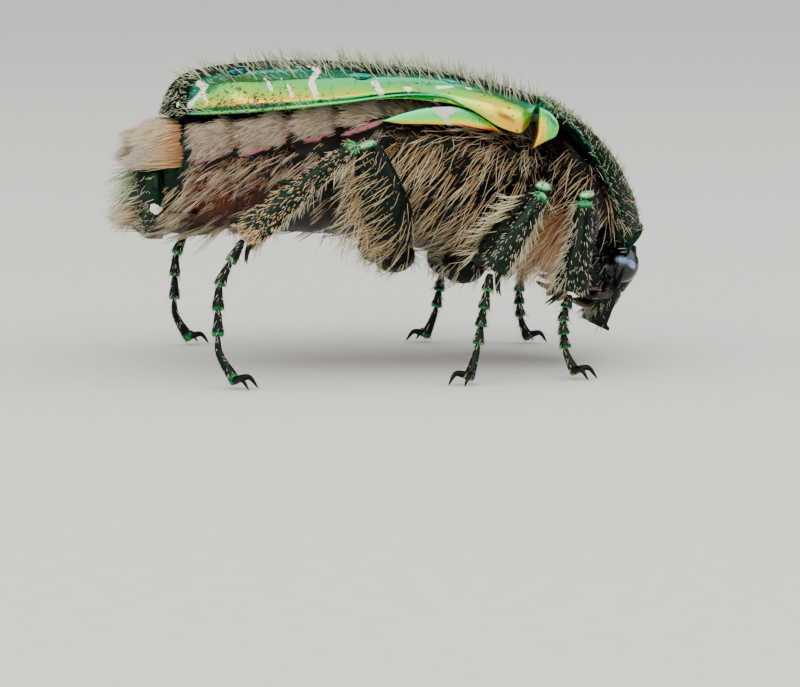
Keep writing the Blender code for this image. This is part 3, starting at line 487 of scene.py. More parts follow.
@dataclass(frozen=True)
class Cuticle:
    """Chitin, the beetle's shell, whose thin clear layers give a metallic colour.

    The stops give the colour along the piece's own sweep, and the tint stops the colour along its tint
    attribute, where it has one: painted reflections and sheens on the wing cases and the shield, the real
    colours of membrane and band on the belly.
    Pits are the punctures that each held a bristle, and the colour darkens in them as painted shade. Chalk is
    the cream wax of the marks, which is matt.
    """

    name: str
    stops: Stops
    metallic: float = 0.85
    roughness: float = 0.25
    uneven: tuple[float, float] = (0.8, 1.25)
    pit_mm: float = 0.3
    pit_size: float = 0.3
    pit_depth_mm: float = 0.03
    pit_floor: float = 0.35
    pit_shade: float = 0.35
    grain_mm: float = 0.05
    grain: float = 0.2
    cloud_mm: float = 0.9
    mottle: float = 0.12
    coat: float = 0.3
    coat_roughness: float = 0.12
    chalk: str = ""
    chalk_roughness: float = 0.9
    # The noise that makes the chalk's edge ragged, its strength, and the sum that chalk needs
    chalk_mm: float = 0.22
    chalk_noise: float = 1.3
    chalk_from: tuple[float, float] = (1.12, 1.2)
    tints_and_painted_sheens: Stops = ()
    tint_and_sheen_from: tuple[float, float] = (0.15, 0.4)
    # What the shell reflects at its edges, where it loses its colour and bare metal would not
    edge: str = "#7c8c84"

    def swept(self, tree: Tree, cloud: Socket) -> Socket:
        """The stops' colour along the sweep, which the cloud shifts to and fro.

        Args:
            tree: The material's tree.
            cloud: A slow noise.
        Returns:
            The colour.
        """
        sweep = add_node(tree, "ShaderNodeAttribute", attribute_name="sweep").outputs["Fac"]
        drift = add_node(
            tree, "ShaderNodeMapRange", {0: cloud, 3: -self.mottle, 4: self.mottle}
        ).outputs[0]
        where = add_node(
            tree, "ShaderNodeMath", {0: sweep, 1: drift}, operation="ADD", use_clamp=True
        ).outputs[0]
        colours = add_node(tree, "ShaderNodeValToRGB", {"Fac": where})
        fill_ramp(colours, self.stops)
        return colours.outputs["Color"]

    def pits(self, tree: Tree, place: Socket) -> tuple:
        """Round pits at the cells of a Voronoi pattern, with fine grain between them.

        Args:
            tree: The material's tree.
            place: Object coordinates.
        Returns:
            How far out of a pit a point is, and its height in shares of the pits' depth.
        """
        cell = add_node(tree, "ShaderNodeTexVoronoi", sized(place, self.pit_mm)).outputs["Distance"]
        out = add_node(
            tree,
            "ShaderNodeMapRange",
            {0: cell, 1: self.pit_size * self.pit_floor, 2: self.pit_size, 3: 0.0, 4: 1.0},
            interpolation_type="SMOOTHSTEP",
        ).outputs[0]
        grain = add_node(tree, "ShaderNodeTexNoise", sized(place, self.grain_mm)).outputs["Fac"]
        height = add_node(
            tree, "ShaderNodeMath", {0: grain, 1: self.grain, 2: out}, operation="MULTIPLY_ADD"
        ).outputs[0]
        return out, height

    def with_tints_and_painted_sheens(self, tree: Tree, colour: Socket) -> Socket:
        """Lays the tint stops over a colour where the tint attribute is high: painted reflections and sheens
        on some pieces, real colours on others.

        Args:
            tree: The material's tree.
            colour: The colour below.
        Returns:
            The colour of both.
        """
        depth = add_node(tree, "ShaderNodeAttribute", attribute_name="tint").outputs["Fac"]
        tints_and_painted_sheens = add_node(tree, "ShaderNodeValToRGB", {"Fac": depth})
        fill_ramp(tints_and_painted_sheens, self.tints_and_painted_sheens)
        low, high = self.tint_and_sheen_from
        share = add_node(tree, "ShaderNodeMapRange", {0: depth, 1: low, 2: high}).outputs[0]
        both = {0: share, 6: colour, 7: tints_and_painted_sheens.outputs["Color"]}
        return add_node(tree, "ShaderNodeMix", both, data_type="RGBA").outputs[2]

    def chalked(self, tree: Tree, place: Socket) -> Socket:
        """Where chalk lies: inside the marks, whose outlines a fine noise makes ragged.

        Args:
            tree: The material's tree.
            place: Object coordinates.
        Returns:
            One where chalk covers the shell, and nothing elsewhere.
        """
        inside = add_node(tree, "ShaderNodeAttribute", attribute_name="mark").outputs["Fac"]
        noise = sized(place, self.chalk_mm, Detail=2.0)
        ragged = add_node(tree, "ShaderNodeTexNoise", noise).outputs["Fac"]
        total = add_node(
            tree, "ShaderNodeMath", {0: ragged, 1: self.chalk_noise, 2: inside}, operation="MULTIPLY_ADD"
        ).outputs[0]
        low, high = self.chalk_from
        return add_node(
            tree,
            "ShaderNodeMapRange",
            {0: total, 1: low, 2: high, 3: 0.0, 4: 1.0},
            interpolation_type="SMOOTHSTEP",
        ).outputs[0]

    def material(self) -> bpy.types.Material:
        """Builds the material's nodes.

        Returns:
            The material.
        """
        made = bpy.data.materials.new(self.name)
        made.use_nodes = True
        tree = made.node_tree
        shader = tree.nodes["Principled BSDF"]
        place = add_node(tree, "ShaderNodeTexCoord").outputs["Object"]
        noise = sized(place, self.cloud_mm, Detail=3.0)
        cloud = add_node(tree, "ShaderNodeTexNoise", noise).outputs["Fac"]
        colour = self.swept(tree, cloud)
        out, height = self.pits(tree, place)
        # Inside the pits the colour is multiplied down: painted shade in the recesses.
        shade = add_node(tree, "ShaderNodeMapRange", {0: out, 3: self.pit_shade, 4: 1.0}).outputs[0]
        both = {0: 1.0, 6: colour, 7: shade}
        colour = add_node(tree, "ShaderNodeMix", both, data_type="RGBA", blend_type="MULTIPLY").outputs[2]
        shader.inputs["Metallic"].default_value = self.metallic
        shader.inputs["Specular Tint"].default_value = linear(self.edge)
        shader.inputs["Coat Weight"].default_value = self.coat
        shader.inputs["Coat Roughness"].default_value = self.coat_roughness
        least, most = (self.roughness * share for share in self.uneven)
        dull = add_node(tree, "ShaderNodeMapRange", {0: cloud, 3: least, 4: most}).outputs[0]
        if self.tints_and_painted_sheens:
            colour = self.with_tints_and_painted_sheens(tree, colour)
        if self.chalk:
            cover = self.chalked(tree, place)
            colour = add_node(
                tree, "ShaderNodeMix", {0: cover, 6: colour, 7: linear(self.chalk)}, data_type="RGBA"
            ).outputs[2]
            metal = add_node(tree, "ShaderNodeMapRange", {0: cover, 3: self.metallic, 4: 0.0}).outputs[0]
            tree.links.new(metal, shader.inputs["Metallic"])
            dull = add_node(tree, "ShaderNodeMix", {0: cover, 2: dull, 3: self.chalk_roughness}).outputs[0]
        bump = add_node(
            tree, "ShaderNodeBump", {"Height": height, "Distance": self.pit_depth_mm * MM}
        ).outputs[0]
        tree.links.new(colour, shader.inputs["Base Color"])
        tree.links.new(dull, shader.inputs["Roughness"])
        tree.links.new(bump, shader.inputs["Normal"])
        return made


@dataclass(frozen=True)
class Hair:
    """Bristle, solid chitin drawn to a point, coloured from its root to its tip.

    The spread is how much darker the darkest strand is than the palest.
    """

    name: str
    stops: Stops
    roughness: float = 0.42
    sheen: float = 0.3
    spread: float = 0.45

    def material(self) -> bpy.types.Material:
        """Builds the nodes, which read the tone along a strand and the strand's own number.

        Returns:
            The material.
        """
        made = bpy.data.materials.new(self.name)
        made.use_nodes = True
        tree = made.node_tree
        shader = tree.nodes["Principled BSDF"]
        tone = add_node(tree, "ShaderNodeAttribute", attribute_name="tone").outputs["Fac"]
        strand = add_node(tree, "ShaderNodeAttribute", attribute_name="strand").outputs["Fac"]
        colours = add_node(tree, "ShaderNodeValToRGB", {"Fac": tone})
        fill_ramp(colours, self.stops)
        shade = add_node(tree, "ShaderNodeMapRange", {0: strand, 3: 1 - self.spread, 4: 1.0}).outputs[0]
        both = {0: 1.0, 6: colours.outputs["Color"], 7: shade}
        colour = add_node(tree, "ShaderNodeMix", both, data_type="RGBA", blend_type="MULTIPLY").outputs[2]
        tree.links.new(colour, shader.inputs["Base Color"])
        shader.inputs["Roughness"].default_value = self.roughness
        shader.inputs["Sheen Weight"].default_value = self.sheen
        return made


class Finish(Enum):
    """Every finish on the beetle, each named for what it is made of."""

    # Wing case: hard glossy chitin, dark on the back, emerald to gold down the side, partly its own colour
    # and partly a painted reflection of the sky; its blue tint stops are painted sky in the dimples
    ELYTRON = Cuticle(
        "elytron_chitin",
        (
            (0.0, "#082415"), (0.3, "#0c3a22"), (0.39, "#229a84"), (0.5, "#52d4b2"),
            (0.62, "#5ccf6c"), (0.74, "#a9d44a"), (0.86, "#e8c83c"), (0.97, "#ea9c3a"),
        ),
        roughness=0.2, pit_mm=0.34, pit_size=0.18, pit_depth_mm=0.025, mottle=0.04,
        grain=0.06, coat=0.05, chalk="#f0e8da", tints_and_painted_sheens=((0.45, "#0fa488"), (0.9, "#1a90c8")),
    )
    # Small triangle between the wing cases: the same chitin, with coarser pits
    SCUTELLUM = Cuticle("scutellum_chitin", ((0.0, "#072a18"), (1.0, "#17683c")), pit_mm=0.25)
    # Shield behind the head: dark chitin so densely pitted that it looks rough, with a painted pale highlight
    # along its side rims and a painted green sheen at its hind corners
    PRONOTUM = Cuticle(
        "pronotum_chitin",
        ((0.0, "#03120b"), (0.5, "#08271a"), (0.85, "#2f7a5c"), (1.0, "#9fc9a8")),
        metallic=0.6, roughness=0.4, pit_mm=0.13, pit_size=0.42, pit_depth_mm=0.05, coat=0.0,
        tints_and_painted_sheens=((0.3, "#2fae4a"), (0.9, "#2fcf9a")),
    )
    # Head: blackest chitin, with the densest pits, and a painted teal reflection along the front edge
    HEAD = Cuticle(
        "head_chitin",
        ((0.0, "#020705"), (0.6, "#061a14"), (1.0, "#2f8a78")),
        metallic=0.6, roughness=0.3, pit_mm=0.12, pit_size=0.4, pit_depth_mm=0.04, coat=0.15,
    )
    # Side plates: smooth mirror-like chitin that runs from green through yellow to dark red
    SIDE_PLATE = Cuticle(
        "side_plate_chitin",
        (
            (0.0, "#35c290"), (0.3, "#62d45c"), (0.52, "#e8dc34"), (0.68, "#ea7c30"),
            (0.8, "#7a2414"), (0.9, "#140b07"),
        ),
        roughness=0.18, pit_mm=0.5, pit_size=0.12, mottle=0.03, coat=0.15, chalk="#c6c2c0",
    )
    # Breast: black-green chitin, pitted where the long hair stands
    UNDERSIDE = Cuticle(
        "breast_chitin",
        ((0.0, "#040403"), (0.6, "#0b0d07"), (1.0, "#2c190c")),
        metallic=0.5, roughness=0.38, pit_mm=0.2, pit_size=0.35, pit_depth_mm=0.04, coat=0.05,
    )
    # Belly: thin brown chitin, red where light comes through as painted light and dark low down as painted
    # shadow, pink membrane at the sides
    ABDOMEN = Cuticle(
        "belly_chitin",
        ((0.0, "#060403"), (0.3, "#150b07"), (0.6, "#4a1c0c"), (1.0, "#8a3a18")),
        metallic=0.1, roughness=0.5, pit_mm=0.22, pit_size=0.3, grain=0.6, coat=0.0,
        tints_and_painted_sheens=(
            (0.2, "#4c2628"), (0.42, "#9c6268"), (0.55, "#9c6268"), (0.75, "#5a4636"),
            (0.95, "#86705a"),
        ),
    )
    # Last back plate: dark green chitin, wrinkled like leather, with painted yellow-green highlights at its
    # sides
    PYGIDIUM = Cuticle(
        "tail_plate_chitin",
        ((0.0, "#04100a"), (0.5, "#0b2c1b"), (1.0, "#8fa832")),
        metallic=0.7, roughness=0.35, pit_mm=0.16, pit_size=0.45, pit_depth_mm=0.05,
        mottle=0.3, coat=0.1, chalk="#f1efe6",
    )
    # Legs: glossy black-green chitin, with painted highlights on the knees
    LEG = Cuticle(
        "leg_chitin",
        ((0.0, "#030805"), (0.5, "#071a0f"), (0.8, "#1f8a4a"), (1.0, "#9fd0a0")),
        metallic=0.7, roughness=0.26, pit_mm=0.15, pit_size=0.35, pit_depth_mm=0.035,
        mottle=0.2, coat=0.15,
    )
    # Feelers: smooth brown-black chitin without metal colour
    FEELER = Cuticle(
        "feeler_chitin", ((0.0, "#0c0705"), (1.0, "#3a1d10")), metallic=0.1, pit_depth_mm=0.01
    )
    # Eye: clear lenses over black, so fine that they show as a sheen, with a pale blue patch that is a
    # painted reflection of the sky
    EYE = Cuticle(
        "eye_lenses",
        ((0.0, "#06070a"), (0.6, "#0c1018"), (1.0, "#8fa4c8")),
        metallic=0.1, roughness=0.12, pit_mm=0.07, pit_size=0.5, pit_depth_mm=0.006,
        mottle=0.04, coat=0.8,
    )
    # Bristles of the back: pale, with a green cast from the shell below
    BACK_HAIR = Hair("pale_bristle", ((0.0, "#4a5a30"), (0.35, "#a8b880"), (1.0, "#eef2d6")))
    # Ticks of dark bristle on the wing case's bright side, which stand for the shadows in its pits: painted
    # shade
    DARK_HAIR = Hair("pit_shadow_bristle", ((0.0, "#04100a"), (1.0, "#163c20")))
    # Long hair of the breast: golden beige
    BREAST_HAIR = Hair("golden_hair", ((0.0, "#3a2810"), (0.15, "#b8924e"), (1.0, "#fff0c4")), spread=0.6)
    # Short hair of the breast: rusty brown
    BROWN_HAIR = Hair("brown_hair", ((0.0, "#1c0e06"), (0.35, "#7a4a26"), (1.0, "#d0a06c")), spread=0.6)
    # Combed hair of the belly: beige
    BELLY_HAIR = Hair("beige_hair", ((0.0, "#5e4632"), (0.3, "#a88868"), (1.0, "#eadac0")), spread=0.7)
    # Tail tuft: tan at the root and white at the tip
    TAIL_HAIR = Hair(
        "tan_hair", ((0.0, "#96642c"), (0.4, "#d8a460"), (0.8, "#ecd6ae"), (1.0, "#f8f4e8")), spread=0.5
    )
    # Long combed hair below the tail: cream
    COMB_HAIR = Hair("cream_hair", ((0.0, "#4a3a20"), (0.4, "#c0a878"), (1.0, "#efe4c4")))
    # Fringes and stubble of the legs: rusty at the root and cream at the tip
    RUST_HAIR = Hair("rusty_hair", ((0.0, "#34180a"), (0.35, "#8a5420"), (0.75, "#d0a262"), (1.0, "#f8f0d8")))
    # Bristles of the legs: cream
    LEG_HAIR = Hair("cream_bristle", ((0.0, "#5c5a34"), (0.3, "#c4be8c"), (1.0, "#f6f0d8")))

    @property
    def made(self) -> bpy.types.Material:
        """The finish's material, built once."""
        return bpy.data.materials.get(self.value.name) or self.value.material()


@dataclass
class Skin:
    """A grid of points that hair roots on, and its part of the coat's unwrap."""

    grid: Array
    region: tuple[float, float, float, float] = (0.02, 0.02, 0.98, 0.98)

    def scatter(self, rng: np.random.Generator, count: int, weight: Rule) -> tuple:
        """Draws root places, more where faces are larger and the weight is higher.

        Args:
            rng: Source of random numbers.
            count: How many places.
            weight: Density from points and normals.
        Returns:
            Points, the ways out from the skin, and places on the unwrap.
        """
        a, b = self.grid[:-1, :-1], self.grid[:-1, 1:]
        c, d = self.grid[1:, 1:], self.grid[1:, :-1]
        cross = np.cross(c - a, d - b) / 2
        middle = (a + b + c + d) / 4
        if np.sum(cross * (middle - self.grid.mean((0, 1)))) < 0:
            cross = -cross
        area = np.linalg.norm(cross, axis=2)
        normals = unit(cross)
        chance = (area * np.maximum(weight(middle, normals), 0)).ravel()
        cell = rng.choice(chance.size, count, p=chance / chance.sum())
        s, t = rng.random((2, count, 1))
        i, j = np.divmod(cell, a.shape[1])
        roots = (a[i, j] * (1 - s) + d[i, j] * s) * (1 - t) + (b[i, j] * (1 - s) + c[i, j] * s) * t
        u = (i + s[:, 0]) / a.shape[0]
        v = (j + t[:, 0]) / a.shape[1]
        u0, v0, u1, v1 = self.region
        return roots, normals[i, j], np.stack([u0 + (u1 - u0) * u, v0 + (v1 - v0) * v], 1)


@dataclass(frozen=True)
class Tuft:
    """How hair grows, in millimetres and degrees.

    Strands root within the spread of their tuft's root. They stand off the skin by the
    lift, sink towards it by the droop, draw together by the clump, and stray and wave aside.
    """

    tufts: int
    strands: int
    length: tuple[float, float]
    radius: float = 0.016
    spread: float = 0.1
    lift: float = 25.0
    droop: float = 0.15
    clump: float = 0.5
    stray: float = 0.15
    wave: float = 0.03
    stations: int = 4

    def run(self, start: Array, ahead: Array, rise: Array, reach: Array, out: Array) -> Array:
        """Paths of strands, level by the cosine of the rise, up by its sine less the droop.

        Args:
            start: Their roots.
            ahead: The ways they run over the skin.
            rise: Their angles to it, in radians.
            reach: Their lengths.
            out: The ways out from the skin.
        Returns:
            Points by strand and by station.
        """
        t = np.linspace(0, 1, self.stations)[None, :, None]
        reach, rise = reach[:, None, None], rise[:, None, None]
        forward = ahead[:, None] * np.cos(rise) * t
        upward = out[:, None] * (np.sin(rise) * t - self.droop * t**2)
        return start[:, None] + reach * (forward + upward)


# The size of a tuft's patch on the coat's unwrap
PATCH = 0.003
# How deep a root is sunk in the skin, in millimetres
SINK = 0.04
# The least and most of a tuft's own lift, and of a strand's own length and thickness
LIFTS = (0.75, 1.25)
REACHES = (0.75, 1.1)
RADII = (0.7, 1.25)
# A way that no strand runs along
ASIDE = (0.13, 0.31, 0.94)


@dataclass
class Coat:
    """One coat piece, a joined mesh of tapered three-sided strands."""

    name: str
    finish: Finish
    slot: str
    seed: int
    shapes: list[Shape] = field(default_factory=list)

    def grow(self, skin: Skin, tuft: Tuft, lie: Rule, weight: Rule | None = None) -> None:
        """Adds tufts to the coat.

        A strand leaves its root at the lift's angle to the skin, runs along the lie and
        droops by the square of the share along it. Clumping draws it to its tuft's axis.

        Args:
            skin: What they root on.
            tuft: Their counts, sizes and stance.
            lie: The way that hair points.
            weight: Their density, or nothing for an even coat.
        """
        rng = np.random.default_rng(self.seed + len(self.shapes))
        weight = weight or (lambda points, normals: np.ones(points.shape[:-1]))
        roots, out, uv = skin.scatter(rng, tuft.tufts, weight)
        way = lie(roots, out)
        way = unit(way - out * np.sum(way * out, 1, keepdims=True))
        side = np.cross(out, way)
        size = rng.uniform(*tuft.length, tuft.tufts)
        lift = np.radians(tuft.lift) * rng.uniform(*LIFTS, tuft.tufts)
        axis = tuft.run(roots, way, lift, size, out)
        repeat = lambda values: np.repeat(values, tuft.strands, axis=0)
        total = tuft.tufts * tuft.strands
        angle = rng.uniform(0, 2 * math.pi, total)
        away = tuft.spread * np.sqrt(rng.random(total))
        shift = repeat(way) * (away * np.cos(angle))[:, None]
        shift = shift + repeat(side) * (away * np.sin(angle))[:, None]
        ahead = unit(repeat(way) + repeat(side) * rng.normal(0, tuft.stray, (total, 1)))
        rise = repeat(lift) + rng.normal(0, tuft.stray * 0.6, total)
        reach = repeat(size) * rng.uniform(*REACHES, total)
        start = repeat(roots) + shift - repeat(out) * SINK
        path = tuft.run(start, ahead, rise, reach, repeat(out))
        t = np.linspace(0, 1, tuft.stations)[None, :, None]
        pull = tuft.clump * t**1.4
        path = path * (1 - pull) + repeat(axis) * pull
        phase = rng.uniform(0, 6, (total, 1, 1))
        sway = reach[:, None, None] * tuft.wave * np.sin(phase + 4 * t) * t
        path = path + repeat(side)[:, None] * sway
        self.shapes.append(self.strands(path, repeat(uv), tuft.radius, rng))

    @staticmethod
    def strands(path: Array, uv: Array, radius: float, rng: np.random.Generator) -> Shape:
        """Three-sided strands, which narrow to a point by a power of the share that is left.

        Args:
            path: Points by strand and by station.
            uv: Where each strand's tuft lies on the unwrap.
            radius: Their radius at the root.
            rng: Source of random numbers.
        Returns:
            One shape of them all, with tone along each and a number of its own.
        """
        count, stations, _ = path.shape
        ahead = unit(np.gradient(path, axis=1))
        first = unit(np.cross(ahead, np.array(ASIDE)))
        second = np.cross(ahead, first)
        t = np.linspace(0, 1, stations)[:-1]
        thick = radius * rng.uniform(*RADII, (count, 1)) * (1 - t) ** 0.6
        rings = []
        for k in range(3):
            turn = k * 2 * math.pi / 3
            swing = first[:, :-1] * math.cos(turn) + second[:, :-1] * math.sin(turn)
            rings.append(path[:, :-1] + swing * thick[..., None])
        rings = np.stack(rings, 2)
        body = rings.reshape(count, -1, 3)
        vertices = np.concatenate([body, path[:, -1:]], 1)
        each = vertices.shape[1]
        quads = grid_faces(stations - 1, 3, True)
        tip = (stations - 2) * 3 + np.arange(3)
        tips = np.stack([tip, np.roll(tip, -1), np.full(3, each - 1)], 1)
        base = np.array([[2, 1, 0]])
        shift = (np.arange(count) * each)[:, None, None]
        tone = np.concatenate([np.repeat(t, 3), [1.0]])
        patch = np.stack([np.append(np.tile([-0.5, 0.0, 0.5], stations - 1), 0.0), tone - 0.5], 1)
        return Shape(
            vertices.reshape(-1, 3),
            [(f[None] + shift).reshape(-1, f.shape[1]) for f in (quads, tips, base)],
            {"tone": np.tile(tone, count), "strand": np.repeat(rng.random(count), each)},
            (uv[:, None] + patch * PATCH).reshape(-1, 2),
        )

    def build(self) -> None:
        """Makes the coat's object."""
        Shape.join(self.shapes).build(self.name, self.finish, self.slot)


def toward(x: float, y: float, z: float) -> Rule:
    """A lie that points one way everywhere, with y outwards on both sides."""
    return lambda points, normals: np.where(points[..., 1:2] < 0, (x, -y, z), (x, y, z))


def on_side(points: Array, side: int) -> Array:
    """One on a side of the body, past a narrow gap along its middle, and nothing elsewhere."""
    return (points[..., 1] * side > 0.2).astype(float)


def along(way: Array) -> Rule:
    """A lie along one way, the same on both sides."""
    return lambda points, normals: np.broadcast_to(way, points.shape)


@dataclass
class Elytra:
    """The two wing cases, with ribs, shoulder bulge, side bead and cream marks."""

    top_line: Knots = (
        (-6.22, 7.4), (-5.8, 8.26), (-5.0, 8.64), (-2.4, 8.86), (0.8, 8.73), (2.3, 8.52),
        (3.77, 8.16), (4.55, 7.9),
    )
    edge_height: Knots = (
        (-6.22, 7.4), (-4.0, 7.57), (-1.5, 7.81), (0.6, 8.04), (1.35, 8.0),
        (2.2, 7.64), (3.1, 7.1), (3.6, 6.97), (3.95, 7.22),
    )
    edge_width: Knots = (
        (-6.22, 0.6), (-5.95, 1.9), (-5.3, 3.0), (-4.0, 3.95), (-2.0, 4.4),
        (0.0, 4.42), (1.4, 4.3), (2.7, 4.55), (3.4, 4.5), (3.95, 4.05),
    )
    rear: float = -6.22
    arch: float = 2.5
    thickness: float = 0.4
    edge_round: float = 0.22
    seam: float = 0.02
    scutellum_tip: float = 2.75
    scutellum_half: float = 1.35
    rows: int = 240
    columns: int = 136
    # Cream marks: lines of places along the body and up, and their half width
    chalk_lines: tuple = (
        (((-5.35, 8.5), (-5.13, 8.2), (-5.3, 7.98), (-5.57, 7.76)), 0.1),
        (((-5.2, 8.1), (-5.11, 7.84)), 0.055),
        (((-5.98, 7.78), (-5.86, 7.72)), 0.08),
        (((-2.06, 8.82), (-1.98, 8.66), (-2.26, 8.41), (-2.18, 8.06)), 0.1),
        (((-2.46, 8.9), (-2.38, 8.87)), 0.08),
        (((-3.49, 8.5), (-3.38, 8.22)), 0.055),
        (((-3.06, 8.5), (-3.03, 8.48)), 0.05),
        (((-2.92, 8.34), (-2.84, 8.04)), 0.045),
        (((-0.5, 8.4), (-0.36, 8.14)), 0.1),
        (((0.42, 8.25), (0.43, 8.24)), 0.1),
        (((1.3, 8.28), (1.7, 8.27)), 0.07),
        (((2.17, 8.16), (2.18, 8.15)), 0.08),
    )
    # Dimples: places along and across the body, how strongly each shows its painted blue reflection of the
    # sky, and half its length and width
    dimples: tuple = (
        (-4.12, 1.8, 1.0, 0.34, 0.62), (-0.8, 3.5, 0.42, 0.33, 0.34), (1.73, 3.5, 0.95, 0.22, 0.25),
    )
    dimple_depth: float = 0.08
    # Shoulder, hollow behind it, tail bulge and side hollow: height, then the share along the
    # case and its width, and the share across it and its width
    bulges: tuple = (
        (0.2, 0.1, 0.085, 0.76, 0.2),
        (-0.07, 0.28, 0.06, 0.88, 0.1),
        (0.11, 0.84, 0.05, 0.66, 0.14),
        (-0.08, 0.62, 0.16, 0.8, 0.1),
    )
    # Places on the colour sweep by the share across, in front and over the rear two thirds
    cool: Knots = ((0, 0.08), (0.4, 0.2), (0.46, 0.34), (0.52, 0.47), (0.7, 0.58), (0.85, 0.66), (1, 0.7))
    warm: Knots = ((0, 0.08), (0.4, 0.2), (0.46, 0.38), (0.52, 0.5), (0.66, 0.6), (0.8, 0.74), (0.94, 0.9))

    def surface(self) -> tuple[Array, Array, Array]:
        """The outer face: a quarter of a superellipse from the seam down to the side edge.

        Returns:
            Points by share along and across the case, and the two shares.
        """
        s = np.linspace(0, 1, self.rows)[:, None]
        u = 0.55 * s + 0.45 * np.sin(s * math.pi / 2)
        v = np.linspace(0, 1, self.columns)[None]
        front = self.edge_width[-1][0]
        inner = SCUTELLUM_FRONT + (self.rear - SCUTELLUM_FRONT) * u
        outer = front + (self.rear - front) * u
        top = smooth_line(self.top_line, inner)
        edge = smooth_line(self.edge_height, outer)
        width = np.maximum(smooth_line(self.edge_width, outer), 0.25)
        taper = np.clip((inner - self.scutellum_tip) / (SCUTELLUM_FRONT - self.scutellum_tip), 0, 1)
        seam = self.seam + self.scutellum_half * taper
        turn = v * math.pi / 2
        out = np.sin(turn) ** (2 / self.arch)
        x = inner + (outer - inner) * out**3
        y = seam + (width - seam) * out
        z = edge + (np.maximum(top, edge) - edge) * np.cos(turn) ** (2 / self.arch)
        return np.stack([x, y, z], 2), u + 0 * v, v + 0 * u

    def relief(self, u: Array, v: Array) -> Array:
        """Height of ribs, grooves and bulges, each a bell curve along, across or both.

        Args:
            u: Shares along the case.
            v: Shares across it.
        Returns:
            Millimetres over the plain face.
        """
        length = np.sin(math.pi * np.clip(u * 1.15 - 0.08, 0, 1))
        ribs = 0.07 * length * (hump(v, 0.36, 0.035) + hump(v, 0.62, 0.04))
        seam_ridge = 0.06 * ramp(u, 0.3, 0.6) * hump(v, 0.015, 0.02)
        seam_groove = -0.05 * ramp(u, 0.25, 0.5) * hump(v, 0.06, 0.03)
        bead = 0.07 * hump(v, 0.985, 0.016) * ramp(u, 0.18, 0.26)
        side_groove = -0.08 * hump(v, 0.945, 0.018) * ramp(u, 0.2, 0.34)
        total = ribs + seam_ridge + seam_groove + bead + side_groove
        for height, place, reach, across, width in self.bulges:
            total = total + height * hump(u, place, reach) * hump(v, across, width)
        return total * (1 - ramp(u, 0.94, 1.0))

    def stripe(self, points: Array, u: Array, v: Array) -> Array:
        """Place on the colour sweep: dark back, teal, green, yellow and gold, then a green bead.

        The warm colours lie along the rear two thirds and on the shoulder bulge, which they lift as a painted
        highlight, and a groove darkened as painted shade parts them from the bead.
        The bright band down the side is partly the shell's own colour and partly a painted reflection of the
        sky, and the rear tip is darkened as painted shade.

        Args:
            points: The plain face.
            u: Shares along the case.
            v: Shares across it.
        Returns:
            The sweep at each point.
        """
        x = points[..., 0]
        fall = v + 0.025 * np.sin(x * 1.3) + 0.015 * np.sin(x * 4.1)
        fall = fall + 0.07 * ramp(-x, 0.0, 1.5) * ramp(0.8 - v, 0.0, 0.3)
        fall = fall + 0.12 * hump(x, -4.3, 0.8) * ramp(0.7 - v, 0.0, 0.25)
        share = ramp(-x, -1.2, 1.8)
        sweep = smooth_line(self.cool, fall) * (1 - share) + smooth_line(self.warm, fall) * share
        # The shoulder bulge is lifted towards the warm colours as a painted highlight.
        bulge = hump(u, 0.1, 0.075) * hump(v, 0.8, 0.17)
        sweep = sweep + 0.22 * bulge + 0.14 * hump(u, 0.06, 0.06) * ramp(v, 0.8, 0.95)
        # The groove before the bead is darkened as painted shade.
        sweep = sweep - 0.6 * hump(v, 0.945, 0.016) * ramp(u, 0.22, 0.38)
        bead = ramp(v, 0.96, 0.972) * ramp(u, 0.18, 0.26)
        sweep = sweep * (1 - bead) + (0.56 + 0.08 * share) * bead
        # The rear tip is darkened as painted shade.
        return np.clip(sweep, 0, 1) * (1 - 0.8 * ramp(u, 0.9, 0.965))

    def mark(self, points: Array) -> Array:
        """How deep points lie in a cream mark, from their distance to its line.

        A line's places are those of the face nearest to it, away from the back's middle.

        Args:
            points: The plain face.
        Returns:
            One on a line, a half at its half width, and nothing at twice that.
        """
        flat = points.reshape(-1, 3)
        outside = np.where(flat[:, 1] > 2.0, 0.0, 9.0)
        best = np.zeros(len(flat))
        for line, half in self.chalk_lines:
            places = []
            for x, z in line:
                gap = (flat[:, 0] - x) ** 2 + (flat[:, 2] - z) ** 2 + outside
                places.append(flat[np.argmin(gap)])
            for a, b in zip(places, places[1:]):
                share = ((flat - a) @ (b - a)) / max(float((b - a) @ (b - a)), 1e-9)
                gap = np.linalg.norm(flat - a - np.clip(share, 0, 1)[:, None] * (b - a), axis=1)
                best = np.maximum(best, 1 - ramp(gap, 0, half * 2))
        return best.reshape(points.shape[:2])

    def tint(self, points: Array) -> tuple[Array, Array]:
        """The dimples, which are ellipses over the case as seen from above.

        Args:
            points: Places on the case.
        Returns:
            How strongly each shows a painted blue reflection of the sky, and how near it is to a dimple's
            outer rim, which the colour darkens as painted shade.
        """
        dimple_sky = np.zeros(points.shape[:-1])
        rim = np.zeros(points.shape[:-1])
        for x, y, sky_share, length, width in self.dimples:
            out = (np.abs(points[..., 1]) - y) / width
            off = ((points[..., 0] - x) / length) ** 2 + out**2
            # The blue in each hollow is a painted reflection of the sky.
            dimple_sky = np.maximum(dimple_sky, sky_share * (1 - ramp(off, 0.8, 1.0)))
            rim = np.maximum(rim, hump(off, 1.25, 0.22) * ramp(out, -0.2, 0.3))
        return dimple_sky, rim

    def build(self) -> None:
        """Builds both cases and their coats."""
        grid, u, v = self.surface()
        out = grid_normals(grid)
        dimple_sky, rim = self.tint(grid)
        height = self.relief(u, v) - self.dimple_depth * ramp(dimple_sky, 0.0, 0.4)
        outer = grid + out * height[..., None]
